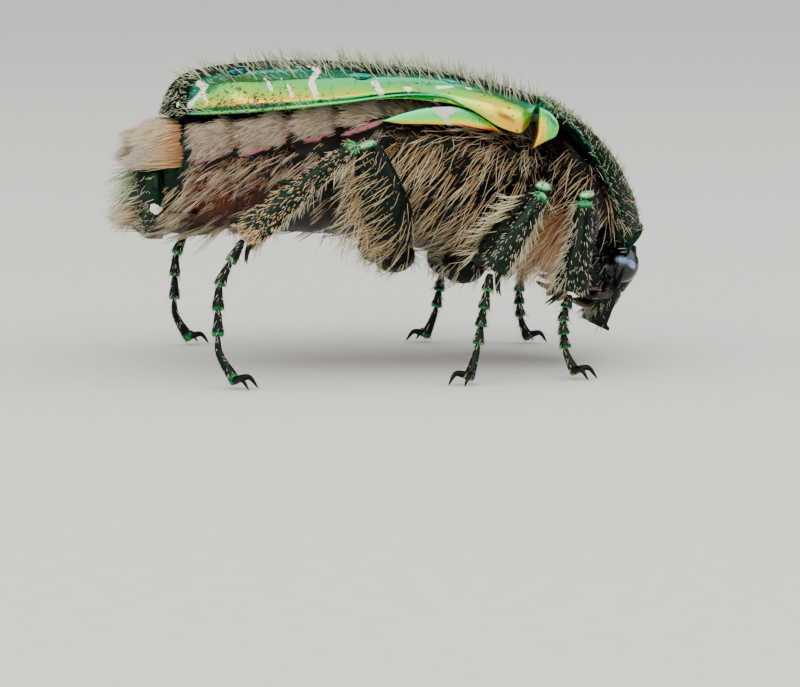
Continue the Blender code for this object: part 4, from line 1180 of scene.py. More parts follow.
        # Round each dimple the sweep is darkened as painted shade at its rim.
        sweep = self.stripe(grid, u, v) * (1 - 0.75 * rim)
        marks = {"sweep": sweep, "mark": self.mark(grid), "tint": dimple_sky}
        made = {}
        for name, side in SIDES.items():
            made[name] = outer * [1, side, 1]
            shape = plate(made[name], out * [1, side, 1], self.thickness, self.edge_round, marks)
            shape.build(f"wing_case_{name}", Finish.ELYTRON, "elytra", f"elytron_{name}")
        self.coat(made)

    def coat(self, grids: dict[str, Array]) -> None:
        """Bristles on the back and the tail end, and dark ticks on the bright side that stand for the shadows
        in its pits, as painted shade.

        Args:
            grids: The cases' outer grids by side.
        """
        bald = lambda p: 1 - 0.93 * (self.tint(p)[0] > 0.05)
        back = lambda p, n: ramp(n[..., 2], 0.74, 0.9) * (1 + 0.8 * ramp(p[..., 0], 1.5, 4.2)) * bald(p)
        tail = lambda p, n: ramp(-p[..., 0], 4.9, 5.7) + 0.03
        flank = lambda p: (np.abs(p[..., 1]) > 2.6) * (0.25 + hump(p[..., 2], 7.85, 0.14))
        bright = lambda p, n: hump(p[..., 0], -3.9, 1.1) * flank(p)
        for i, (name, grid) in enumerate(grids.items()):
            skin = Skin(grid)
            coat = Coat(f"wing_case_bristles_{name}", Finish.BACK_HAIR, "elytra", 100 + i)
            tall = Tuft(300, 1, (0.5, 0.85), 0.019, 0.05, 62, 0.12, 0.0, 0.3, 0.05, 6)
            medium = Tuft(330, 1, (0.22, 0.42), 0.014, 0.05, 48, 0.1, 0.0, 0.3, 0.04, 5)
            short = Tuft(420, 1, (0.12, 0.24), 0.011, 0.05, 32, 0.1, 0.0, 0.3)
            coat.grow(skin, tall, toward(-1, 0.1, 0.15), back)
            coat.grow(skin, medium, toward(-1, 0.15, 0.1), back)
            coat.grow(skin, short, toward(-1, 0.1, -0.2), tail)
            coat.build()
            # These dark bristles are painted shade: they stand for the shadows in the pits.
            coat = Coat(f"wing_case_pit_shadows_{name}", Finish.DARK_HAIR, "elytra", 110 + i)
            pit_shadows = Tuft(800, 1, (0.12, 0.24), 0.017, 0.0, 28, 0.02, 0.0, 0.5)
            coat.grow(skin, pit_shadows, toward(-1, 0.1, -0.6), bright)
            coat.build()


@dataclass
class Scutellum:
    """The long triangle between the wing cases, with rounded sides."""

    top_line: Knots = Elytra.top_line
    tip: float = 2.72
    half: float = 1.33
    thickness: float = 0.45
    rows: int = 60
    columns: int = 56

    def build(self) -> None:
        """Builds a domed plate, whose half width falls by a power of the share that is left."""
        s = np.linspace(0, 1, self.rows)[:, None]
        across = np.linspace(-1, 1, self.columns)[None]
        half = self.half * (1 - s) ** 0.93 + 0.03
        x = SCUTELLUM_FRONT + (self.tip - SCUTELLUM_FRONT) * s + 0 * across
        top = smooth_line(self.top_line, x) + 0.02
        z = top - 0.14 * (across * half / self.half) ** 2 - 0.05 * hump(np.abs(across), 0.86, 0.08)
        grid = np.stack([x, half * across, z], 2)
        # Lighter along the middle of the dome: a painted highlight on its crest.
        sweep = 0.12 + 0.3 * hump(across, 0, 0.5) + 0 * s
        shape = plate(grid, grid_normals(grid), self.thickness, 0.12, {"sweep": sweep})
        shape.build("scutellum_plate", Finish.SCUTELLUM, "scutellum", "scutellum")


@dataclass
class Prothorax:
    """The nodding shield behind the head, and the breast below it."""

    base: Point = (4.8, 0.0, 7.87)
    pitch: float = math.radians(51)
    length: float = 4.95
    half_width: Knots = ((0.0, 2.9), (0.12, 3.5), (0.3, 3.95), (0.55, 3.65), (0.8, 2.75), (1.0, 1.95))
    crest: Knots = ((0.0, 0.0), (0.25, 0.42), (0.5, 0.56), (0.75, 0.42), (1.0, 0.0))
    drop: Knots = ((0.0, 0.3), (0.3, 0.62), (0.6, 0.95), (1.0, 1.05))
    arch: float = 2.2
    start: float = 0.03
    bow: float = 0.3
    thickness: float = 0.4
    rows: int = 156
    columns: int = 220
    breast_span: tuple[float, float] = (0.8, 4.0)
    breast_depth: Knots = ((0.0, 2.6), (0.5, 2.5), (1.0, 1.5))
    breast_slant: tuple[float, float] = (math.radians(40), math.radians(-8))

    def shield(self) -> tuple[Array, Array, Array, Array]:
        """The shield's outer face in the nodding frame, with its relief.

        Along each row the face falls from the crest to the side ridges as a superellipse.

        Returns:
            Points, the ways out, the share along the shield and the share across to its side.
        """
        share = np.linspace(self.start / self.length, 1.0, self.rows)[:, None]
        turn = np.linspace(-math.pi / 2, math.pi / 2, self.columns)[None]
        half = smooth_line(self.half_width, share)
        out = np.sign(turn) * np.abs(np.sin(turn)) ** (2 / self.arch)
        fall = 1 - np.abs(np.cos(turn)) ** (2 / self.arch)
        x = share * self.length - self.bow * out**2 * (1 - share) ** 3
        z = smooth_line(self.crest, share) - smooth_line(self.drop, share) * fall
        reach = np.abs(turn) / (math.pi / 2) + 0 * share
        rim = 0.07 * hump(reach, 0.985, 0.02) - 0.06 * hump(reach, 0.93, 0.03)
        rim = rim + 0.05 * hump(share, 0.99, 0.012) - 0.04 * hump(share, 0.965, 0.015)
        line = -0.03 * hump(turn, 0, 0.03) * ramp(share, 0.1, 0.3)
        grid = np.stack([x, half * out, z], 2)
        away = grid_normals(grid)
        return grid + away * (rim + line)[..., None], away, share + 0 * turn, reach

    def breast(self) -> Array:
        """Ovals round the breast, which lean less from the first to the last.

        Returns:
            Points by ring and by place round it, in the nodding frame.
        """
        t = np.linspace(0, 1, 60)[:, None]
        turn = round_turns(96)
        x = self.breast_span[0] + (self.breast_span[1] - self.breast_span[0]) * t
        share = x / self.length
        slant = self.breast_slant[0] + (self.breast_slant[1] - self.breast_slant[0]) * t
        crest = smooth_line(self.crest, share)
        top = crest - 0.6
        rise = np.maximum(top - (crest - smooth_line(self.drop, share) - 0.35), 0.5)
        half = smooth_line(self.half_width, share) - 0.22
        drop = smooth_line(self.breast_depth, t)
        across, up = oval(turn, half, rise, drop, 2.6, 2.2)
        reach = rise - up
        return np.stack([x + np.sin(slant) * reach, across, top - np.cos(slant) * reach], 2)

    def build(self) -> None:
        """Builds the shield and the breast with their coats."""
        grid, away, share, reach = self.shield()
        outer = nod(grid, self.base, self.pitch)
        away = nod(away, (0, 0, 0), self.pitch)
        # The pale line on the raised side rim is a painted highlight, and the shield is a little lighter near
        # its hind edge.
        sweep = 0.3 + 0.15 * hump(share, 0.1, 0.2) + 0.6 * hump(reach, 0.985, 0.007)
        # The green tint at the hind corners is a painted sheen.
        corner = ramp(0.09 - share, 0.0, 0.03) * ramp(reach, 0.84, 0.9)
        shape = plate(outer, away, self.thickness, 0.2, {"sweep": sweep, "tint": corner})
        shape.build("pronotum_shield", Finish.PRONOTUM, "pronotum", "pronotum")
        breast = nod(self.breast(), self.base, self.pitch)
        sweep = 0.5 + 0.2 * np.sin(breast[..., 2] * 3)
        shape = loft(breast, {"sweep": sweep})
        shape.build("prosternum_breast", Finish.UNDERSIDE, "underside", "prosternum")
        self.coat({"shield": outer, "breast": closed(breast)})

    def coat(self, grids: dict[str, Array]) -> None:
        """Short pale bristles on the shield, and golden and brown hair on the breast.

        Args:
            grids: Both grids in the body frame.
        """
        coat = Coat("pronotum_bristles", Finish.BACK_HAIR, "pronotum", 120)
        edge = lambda p, n: 0.6 + ramp(np.abs(p[..., 1]), 1.5, 3.5)
        short = Tuft(2700, 1, (0.1, 0.22), 0.0125, 0.04, 30, 0.12, 0.0, 0.4)
        tall = Tuft(460, 1, (0.22, 0.45), 0.013, 0.04, 50, 0.1, 0.0, 0.3, 0.04, 5)
        fringe = Tuft(420, 1, (0.25, 0.5), 0.014, 0.04, 28, 0.1, 0.0, 0.4, 0.06, 6)
        hind = Skin(grids["shield"][:26], (0.02, 0.02, 0.15, 0.98))
        coat.grow(Skin(grids["shield"]), short, toward(-1, 0.15, 0.6), edge)
        coat.grow(Skin(grids["shield"]), tall, toward(-1, 0.15, 0.6))
        coat.grow(hind, fringe, toward(-0.3, 0.7, -0.4), edge)
        coat.build()
        side = lambda p, n: ramp(np.abs(p[..., 1]), 0.8, 2.2) * (n[..., 2] < 0.6)
        coat = Coat("prosternum_hair", Finish.BREAST_HAIR, "underside", 121)
        long = Tuft(320, 1, (0.7, 1.3), 0.017, 0.02, 26, 0.06, 0.0, 0.3, 0.1, 8)
        coat.grow(Skin(grids["breast"]), long, toward(-0.6, 0.2, -0.7), side)
        coat.build()
        coat = Coat("prosternum_short_hair", Finish.BROWN_HAIR, "underside", 122)
        short = Tuft(560, 1, (0.25, 0.5), 0.012, 0.08, 25, 0.08, 0.4, 0.4, 0.06, 5)
        coat.grow(Skin(grids["breast"]), short, toward(-0.7, 0.2, -0.5), side)
        coat.build()


@dataclass
class Trunk:
    """What the wing cases cover: the hind breast, the belly rings and the tail."""

    top: Knots = (
        (-6.6, 6.75), (-6.2, 7.1), (-5.3, 7.45), (-4.4, 7.7), (-2.1, 8.05),
        (0.8, 7.8), (2.8, 7.4), (4.5, 7.05),
    )
    belly: Knots = (
        (-6.6, 4.3), (-5.7, 3.85), (-3.7, 4.0), (-0.8, 3.85), (0.7, 3.6),
        (1.8, 3.3), (2.7, 3.15), (3.6, 3.5), (4.5, 4.3),
    )
    middle: Knots = ((-6.6, 5.4), (-5.2, 6.2), (-3.0, 6.6), (0.0, 6.7), (2.0, 6.4), (4.5, 5.9))
    half: Knots = (
        (-6.6, 2.1), (-5.7, 2.8), (-5.0, 3.3), (-4.0, 3.8), (-2.0, 4.1),
        (0.0, 4.1), (2.5, 4.0), (3.6, 3.85), (4.5, 3.35),
    )
    breast_span: tuple[float, float] = (0.1, 4.3)
    ring_edges: tuple[float, ...] = (0.1, -1.35, -2.75, -4.2, -5.55)
    ring_redness: tuple[float, ...] = (0.0, 0.05, 0.22, 0.45)
    tail_span: tuple[float, float] = (-6.3, -5.35)
    # The top of the last belly plate and the foot of the back plate over it
    tail_split: tuple[float, float] = (4.68, 4.72)
    breast_slope: float = math.radians(11)
    knob: Point = (3.4, 0.0, 3.2)
    knob_size: Point = (0.55, 0.5, 0.5)
    sides: int = 230
    # The fan's layers: from and up to which height, tufts, their length and how they rise
    fan_layers: tuple = (
        (7.0, 8.5, 150, (0.5, 0.8), -0.06),
        (6.55, 7.0, 210, (0.85, 1.3), -0.05),
        (6.1, 6.55, 230, (1.1, 1.5), -0.03),
    )

    def ring(self, x: Array, grow: Array, roof: float) -> Array:
        """Outlines of the trunk.

        Args:
            x: Their places along the body, in a column.
            grow: How far each is grown outwards.
            roof: The power of the superellipse above.
        Returns:
            Points by ring and by place round it.
        """
        turn = round_turns(self.sides)
        level = smooth_line(self.middle, x)
        rise = smooth_line(self.top, x) - level + grow
        drop = level - smooth_line(self.belly, x) + grow
        across, up = oval(turn, smooth_line(self.half, x) + grow, rise, drop, roof, 2.1)
        return np.stack([x + 0 * across, across, level + up], 2)

    def build(self) -> None:
        """Builds the breast and the belly, each with its coat."""
        self.coat_breast(self.build_breast(), self.build_neck())
        self.coat(self.build_belly(), self.build_tail())

    def build_breast(self) -> Array:
        """Builds the hind breast, with a seam up its side and a knob between the middle legs.

        Its front leans by the breast's slope.

        Returns:
            Its closed grid.
        """
        x = np.linspace(*self.breast_span, 80)[:, None]
        grid = self.ring(x, 0.0, 2.3)
        seam = -0.06 * hump(grid[..., 0] + 0.25 * grid[..., 2], 3.55, 0.07)
        seam = seam - 0.05 * hump(grid[..., 1], 0, 0.08) * (grid[..., 2] < 5)
        grid = grid + grid_normals(grid) * seam[..., None]
        lean = (grid[..., 2] - 6.7) * math.tan(self.breast_slope)
        grid[..., 0] = np.minimum(grid[..., 0], self.breast_span[1] + lean)
        sweep = 0.35 + 0.3 * ramp(grid[..., 2], 5.5, 7.0)
        shape = loft(grid, {"sweep": sweep})
        shape.build("hind_breast", Finish.UNDERSIDE, "underside", "thorax")
        knob = ball(26, 36) * self.knob_size + self.knob
        plain(loft(knob), 0.8).build("breast_knob", Finish.SCUTELLUM, "underside")
        return closed(grid)

    def build_neck(self) -> Array:
        """Builds the middle breast, which fills the bend between the trunk and the prothorax.

        Returns:
            Its closed grid.
        """
        x = np.linspace(4.0, 5.4, 40)[:, None]
        grid = self.ring(x, -0.22 - 0.5 * ramp(x, 4.5, 5.4), 2.3)
        plain(loft(grid), 0.4).build("middle_breast", Finish.UNDERSIDE, "underside")
        return closed(grid)

    @staticmethod
    def level(points: Array) -> Array:
        """Height of the pink membrane along the belly's side."""
        return 6.28 + 0.2 * (points[..., 0] + 5.1)

    @staticmethod
    def open(points: Array) -> Array:
        """One below the bare dark strip under the wing case's edge, which is kept dark as painted shadow, and
        nothing in that strip.
        """
        return ramp(7.46 + 0.13 * (points[..., 0] + 4) - points[..., 2], 0.0, 0.12)

    def flank(self, grid: Array, share: Array, red: float) -> dict[str, Array]:
        """Colours of a belly ring: beige below the hair, a lens of pink membrane, then dark, with red painted
        in as light shining through the shell, fading out towards the bottom as painted shadow.

        Args:
            grid: The ring.
            share: Shares along it.
            red: How red its lower side is.
        Returns:
            Its sweep and its tint.
        """
        rise = grid[..., 2] - self.level(grid)
        flanks = np.abs(grid[..., 1]) > 2
        lens = 0.11 * np.sqrt(np.clip(1 - (share * 2.2 - 1.3) ** 2, 0.0001, 1))
        off = np.abs(rise + 0.2 * (share - 0.55))
        strip = 0.5 * (1 - ramp(off, lens * 0.4, lens * 1.2)) * flanks
        ends = ramp(share, 0.04, 0.1) * ramp(0.92 - share, 0.0, 0.06)
        # The beige band ends below the wing case's edge, so a dark strip of painted shadow lies under it.
        band = 0.95 * ramp(rise, 0.12, 0.3) * ends * self.open(grid + [0, 0, 0.12]) * flanks
        # The red below the strip is painted light shining through the shell, and fades out low down as
        # painted shadow.
        below = ramp(-rise, 0.3, 1.0) * ramp(grid[..., 2], 4.0, 5.0)
        return {"sweep": 0.18 + red * below, "tint": np.maximum(strip, band)}

    def build_belly(self) -> list[Array]:
        """Builds the rings, each proud of the next at its hind edge, which curls under.

        Returns:
            Their closed grids.
        """
        grids = []
        whole = []
        for front, back, red in zip(self.ring_edges, self.ring_edges[1:], self.ring_redness):
            s = np.linspace(0, 1, 44)[:, None]
            x = front + (back - 0.12 - front) * s
            grow = -0.13 + 0.15 * ramp(s, 0.0, 0.35) - 0.16 * ramp(s, 0.93, 1.0)
            grid = self.ring(x, grow, 3.6)
            groove = -0.07 * hump(grid[..., 2], self.level(grid) - 0.24, 0.08)
            grid = grid + grid_normals(grid) * groove[..., None]
            whole.append(loft(grid, self.flank(grid, s, red)))
            grids.append(closed(grid))
        Shape.join(whole).build("belly_rings", Finish.ABDOMEN, "abdomen", "abdomen")
        return grids

    def build_tail(self) -> Array:
        """Builds the last ring, parted into its back plate and its belly plate.

        Returns:
            The whole ring's closed grid.
        """
        x = np.linspace(*self.tail_span, 50)[:, None]
        grid = self.ring(x, -0.03 + 0.03 * np.sin((x - self.tail_span[1]) * 3), 3.6)
        low, high = self.tail_split
        for name, heights, slot, finish in (
            ("propygidium", np.maximum(grid[..., 2], high), "pygidium", Finish.PYGIDIUM),
            ("last_sternite", np.minimum(grid[..., 2], low), "abdomen", Finish.ABDOMEN),
        ):
            part = np.stack([grid[..., 0], grid[..., 1], heights], 2)
            shape = plain(loft(part), 0.2)
            shape.marks["mark"] = shape.marks["tint"] = np.zeros(len(shape.vertices))
            shape.build(f"{name}_plate", finish, slot, name)
        return closed(grid)

    def coat_breast(self, breast: Array, neck: Array) -> None:
        """Long golden hair that sweeps down and back over short brown hair.

        Args:
            breast: The hind breast's grid.
            neck: The middle breast's grid.
        """
        hind, middle = Skin(breast, (0.02, 0.02, 0.68, 0.98)), Skin(neck, (0.72, 0.02, 0.98, 0.98))
        for i, (name, side) in enumerate(SIDES.items()):
            mine = lambda p, side=side: on_side(p, side) * (0.25 + ramp(np.abs(p[..., 1]), 2, 3.5))
            low = lambda p, n: mine(p) * ramp(-p[..., 2], -7.3, -6.9)
            high = lambda p, n: mine(p) * (0.25 + ramp(p[..., 2], 5.2, 6.6)) * (p[..., 2] < 7.75)
            top = lambda p, n: mine(p) * ramp(p[..., 2], 7.2, 7.35) * ramp(1.9 - p[..., 0], 0.0, 0.4)
            coat = Coat(f"breast_hair_{name}", Finish.BREAST_HAIR, "underside", 140 + i)
            long = Tuft(245, 2, (1.0, 1.8), 0.014, 0.1, 17, 0.03, 0.2, 0.17, 0.08, 9)
            fine = Tuft(45, 4, (0.7, 1.3), 0.009, 0.12, 16, 0.03, 0.6, 0.16, 0.07, 8)
            few = Tuft(60, 1, (0.6, 1.1), 0.015, 0.02, 24, 0.04, 0.0, 0.2, 0.07, 8)
            coat.grow(hind, long, toward(-0.6, 0.1, -0.8), low)
            coat.grow(hind, fine, toward(-0.6, 0.1, -0.8), low)
            coat.grow(middle, few, toward(-0.5, 0.1, -0.8), low)
            coat.build()
            coat = Coat(f"breast_short_hair_{name}", Finish.BROWN_HAIR, "underside", 150 + i)
            short = Tuft(560, 1, (0.3, 0.65), 0.013, 0.04, 26, 0.05, 0.0, 0.4, 0.1, 7)
            dense = Tuft(150, 1, (0.4, 0.8), 0.013, 0.04, 30, 0.05, 0.0, 0.35, 0.1, 7)
            coat.grow(hind, short, toward(-0.9, 0.1, -0.35), high)
            coat.grow(middle, dense, toward(-0.6, 0.1, -0.6), high)
            coat.build()
            coat = Coat(f"breast_top_hair_{name}", Finish.TAIL_HAIR, "underside", 155 + i)
            flat = Tuft(220, 4, (0.35, 0.6), 0.014, 0.1, 28, 0.02, 0.5, 0.15, 0.05, 4)
            coat.grow(Skin(breast), flat, toward(-1.0, 0.2, -0.1), top)
            coat.build()

    def band(self, points: Array, k: int) -> Array:
        """How densely a ring's band grows: above the pink strip, clear of the ring's edges.

        Args:
            points: Places on the ring.
            k: Which ring, from the front.
        Returns:
            The density at each.
        """
        front, back = self.ring_edges[k : k + 2]
        x, rise = points[..., 0], points[..., 2] - self.level(points)
        clear = ramp(x - back, 0.16, 0.4) * ramp(front - x, 0.0, 0.06)
        clear = clear * self.open(points) * (np.abs(points[..., 1]) > 2.2)
        return ramp(rise, 0.12, 0.3) * clear

    def under(self, points: Array) -> Array:
        """Hair below the pink strip, down to the middle of the belly's side."""
        fall = self.level(points) - points[..., 2]
        return ramp(fall, 0.02, 0.2) * (0.1 + ramp(1.3 - fall, 0.0, 0.7))

    def coat(self, belly: list[Array], tail: Array) -> None:
        """Combed bands on the belly, and a fan and a comb at the tail.

        Args:
            belly: The rings' grids.
            tail: The last ring's grid.
        """
        share = 1 / len(belly)
        skins = [
            Skin(grid, (k * share + 0.01, 0.02, k * share + 0.24, 0.98)) for k, grid in enumerate(belly)
        ]
        for i, (name, side) in enumerate(SIDES.items()):
            under = lambda p, n, side=side: on_side(p, side) * self.under(p)
            coat = Coat(f"belly_hair_{name}", Finish.BELLY_HAIR, "abdomen", 160 + i)
            flat = Tuft(310, 4, (0.42, 0.7), 0.0155, 0.1, 9, 0.02, 0.5, 0.16, 0.07, 5)
            loose = Tuft(36, 4, (0.5, 0.95), 0.014, 0.08, 10, 0.0, 0.8, 0.14, 0.05, 5)
            for k, skin in enumerate(skins):
                band = lambda p, n, k=k, side=side: on_side(p, side) * self.band(p, k)
                coat.grow(skin, flat, toward(-0.85, 0.0, -0.5), band)
                coat.grow(skin, loose, toward(-0.8, 0.0, -0.6), under)
            coat.build()
            coat = Coat(f"belly_brown_hair_{name}", Finish.BROWN_HAIR, "abdomen", 170 + i)
            rough = Tuft(190, 2, (0.2, 0.5), 0.012, 0.06, 24, 0.05, 0.3, 0.5, 0.12, 5)
            for skin in skins[2:]:
                coat.grow(skin, rough, toward(-0.7, 0.0, -0.7), under)
            coat.build()
            self.coat_tail(i, name, side, belly[-1], tail)

    def coat_tail(self, i: int, name: str, side: int, last: Array, tail: Array) -> None:
        """A fan that stands back from the last ring in layers, and a comb below it.

        Args:
            i: The side's number, for the random draws.
            name: The side's name.
            side: The side's sign.
            last: The hindmost belly ring's grid.
            tail: The last ring's grid.
        """
        wide = lambda p: ramp(-p[..., 0], 5.7, 5.85) * (0.3 + ramp(np.abs(p[..., 1]), 0.5, 1.6))
        coat = Coat(f"tail_fan_{name}", Finish.TAIL_HAIR, "pygidium", 180 + i)
        for low, high, many, length, rise in self.fan_layers:
            layer = lambda p, a=low, b=high: (p[..., 2] > a) * (p[..., 2] <= b)
            zone = lambda p, n, layer=layer: on_side(p, side) * wide(p) * layer(p)
            fan = Tuft(many, 7, length, 0.013, 0.11, 22, 0.02, 0.5, 0.1, 0.05, 5)
            coat.grow(Skin(tail), fan, toward(-1.0, 0.2, rise), zone)
        rear = lambda p: (p[..., 0] < -5.8) & (p[..., 2] > 6.6)
        middle = lambda p, n: rear(p) * (p[..., 1] * side > 0) * (np.abs(p[..., 1]) < 0.9)
        fan = Tuft(70, 7, (0.7, 1.0), 0.013, 0.11, 20, 0.2, 0.5, 0.12, 0.05, 6)
        coat.grow(Skin(tail), fan, toward(-1.0, -0.06, -0.1), middle)
        coat.build()
        coat = Coat(f"tail_comb_{name}", Finish.COMB_HAIR, "pygidium", 190 + i)
        height = lambda p: ramp(5.7 - p[..., 2], 0.0, 0.3) * ramp(p[..., 2], 3.9, 4.3)
        below = lambda p, n: on_side(p, side) * height(p)
        down = toward(-0.75, 0.05, -0.7)
        comb = Tuft(34, 6, (0.8, 1.4), 0.012, 0.12, 16, 0.0, 0.75, 0.12, 0.05, 7)
        coat.grow(Skin(tail, (0.02, 0.02, 0.48, 0.98)), comb, down, below)
        comb = Tuft(11, 6, (0.8, 1.5), 0.012, 0.12, 16, 0.0, 0.75, 0.12, 0.05, 7)
        coat.grow(Skin(last, (0.52, 0.02, 0.98, 0.98)), comb, down, below)
        coat.build()


@dataclass
class TailPlate:
    """The last plate of the back, a domed rounded triangle that faces backwards."""

    rim: Point = (-6.5, 0.0, 5.2)
    depth: float = 0.66
    half: float = 2.45
    rise: float = 1.2
    drop: float = 1.45
    spot: Point = (-6.55, 2.25, 4.75)

    def build(self) -> None:
        """Builds rings that shrink by a power of the cosine as the dome rises by the sine."""
        turn = np.linspace(0, math.pi / 2 - 0.02, 70)[:, None]
        around = round_turns(150)
        scale = np.cos(turn) ** 0.8
        across, up = oval(around, self.half * scale, self.rise * scale, self.drop * scale, 2.8, 1.7)
        x = self.rim[0] - self.depth * np.sin(turn) + 0 * across
        dome = np.stack([x, across, self.rim[2] + up], 2)
        back = dome[:1] * [1, 0.9, 1] + [0.3, 0, 0]
        grid = np.concatenate([back, dome])
        gap = np.stack([grid[..., 0], np.abs(grid[..., 1]), grid[..., 2]], 2) - self.spot
        spots = 1 - ramp(np.linalg.norm(gap, axis=2), 0.08, 0.3)
        # The paler yellow-green patches at both sides are painted highlights.
        sweep = 0.25 + 0.14 * hump(np.abs(grid[..., 1]), 2.0, 0.4) * hump(grid[..., 2], 5.35, 0.4)
        shape = loft(grid, {"sweep": sweep, "mark": spots})
        shape.build("pygidium_plate", Finish.PYGIDIUM, "pygidium", "pygidium")
        self.coat(closed(dome))

    def coat(self, grid: Array) -> None:
        """Pale bristles that point straight back, and a cream brush below them.

        Args:
            grid: The dome's grid.
        """
        coat = Coat("pygidium_bristles", Finish.BACK_HAIR, "pygidium", 200)
        low = lambda p, n: ramp(-p[..., 2], -6.0, -5.6)
        rear = lambda p, n: low(p, n) * ramp(-p[..., 0], 6.82, 7.0) * (p[..., 2] > 4.9)
        long = Tuft(120, 1, (0.6, 1.2), 0.018, 0.1, 60, 0.1, 0.0, 0.2, 0.06, 7)
        short = Tuft(260, 1, (0.15, 0.35), 0.012, 0.05, 35, 0.1, 0.0, 0.4)
        coat.grow(Skin(grid), long, toward(-1, 0.02, -0.25), rear)
        coat.grow(Skin(grid), short, toward(-1, 0.1, -0.6), low)
        coat.build()
        coat = Coat("pygidium_brush", Finish.COMB_HAIR, "pygidium", 205)
        below = lambda p, n: ramp(-p[..., 0], 6.85, 7.0) * (p[..., 2] < 4.9)
        brush = Tuft(130, 2, (0.7, 1.15), 0.015, 0.08, 50, 0.1, 0.2, 0.2, 0.06, 7)
        coat.grow(Skin(grid), brush, toward(-1, 0.02, -0.3), below)
        coat.build()


@dataclass
class SidePlates:
    """The mirror-like plates beside the wing cases."""

    mesepimeron: tuple = (
        (4.18, 7.7), (4.46, 7.56), (4.74, 7.14), (4.68, 6.9), (4.3, 6.68), (3.96, 6.5), (4.12, 7.0),
    )
    # The long plate's upper and lower edges, as places along the body and up
    upper: Knots = (
        (-0.35, 7.33), (0.3, 7.56), (1.0, 7.7), (1.7, 7.72), (2.3, 7.55), (2.75, 7.28), (3.15, 6.95),
    )
    lower: Knots = ((-0.35, 7.3), (0.2, 7.24), (1.0, 7.22), (1.9, 7.18), (2.6, 7.06), (3.15, 6.92))
    reach: tuple[float, float] = (3.5, 4.36)

    def slab(self, outline: Knots, side: int, bulge: float) -> Array:
        """A pillow over an outline: rings that shrink inwards as the face rises.

        Args:
            outline: Its corners, along the body and up.
            side: The side's sign.
            bulge: How far its middle stands out past its edge.
        Returns:
            Points by ring and by place round it.
        """
        corners = np.array(outline + outline[:1])
        edge = read_path(np.column_stack([corners, np.zeros(len(corners))]), np.linspace(0, 1, 97)[:-1])
        middle = edge.mean(0)
        scale = np.concatenate([[0.9, 0.97], np.cos(np.linspace(0, math.pi / 2 - 0.03, 40)) ** 0.5])
        inner, outer = self.reach
        rim = outer - bulge
        lift = np.sin(np.linspace(0, math.pi / 2, 40)) ** 0.7 * bulge
        y = side * np.concatenate([[inner, rim - 0.12], rim + lift])
        flat = middle + (edge - middle)[None] * scale[:, None, None]
        return np.stack([flat[..., 0], y[:, None] + 0 * flat[..., 0], flat[..., 1]], 2)

    def build(self) -> None:
        """Builds the four plates, coloured from top to bottom, the long ones with a cream mark."""
        for name, side in SIDES.items():
            for kind, outline, bulge in (
                ("mesepimeron", self.mesepimeron, 0.12),
                ("metepisternum", self.upper + self.lower[-2:0:-1], 0.1),
            ):
                grid = self.slab(outline, side, bulge)
                x, z = grid[..., 0], grid[..., 2]
                if kind == "mesepimeron":
                    sweep = 0.05 + 0.22 * ramp(7.6 - z, 0.0, 0.6)
                    sweep = sweep + 0.32 * ramp(4.44 - x, 0.0, 0.14) * ramp(7.66 - z, 0.0, 0.3)
                    mark = 0 * x
                else:
                    top, foot = smooth_line(self.upper, x), smooth_line(self.lower, x)
                    fall = np.clip((top - z) / np.maximum(top - foot, 0.05), 0, 1)
                    sweep = 0.06 + (0.5 + 0.16 * ramp(x, 1.3, 2.0)) * fall**1.4 + 0.3 * ramp(x, 2.3, 3.0)
                    half = 0.07 + 0.26 * ramp(z, 7.3, 7.7)
                    mark = 1 - ramp(np.abs(x - 1.4 - 0.5 * (7.6 - z)), 0, half * 2)
                shape = loft(grid, {"sweep": np.clip(sweep, 0, 1), "mark": mark})
                piece, node = f"{kind}_plate_{name}", f"{kind}_{name}"
                shape.build(piece, Finish.SIDE_PLATE, "side_plates", node)


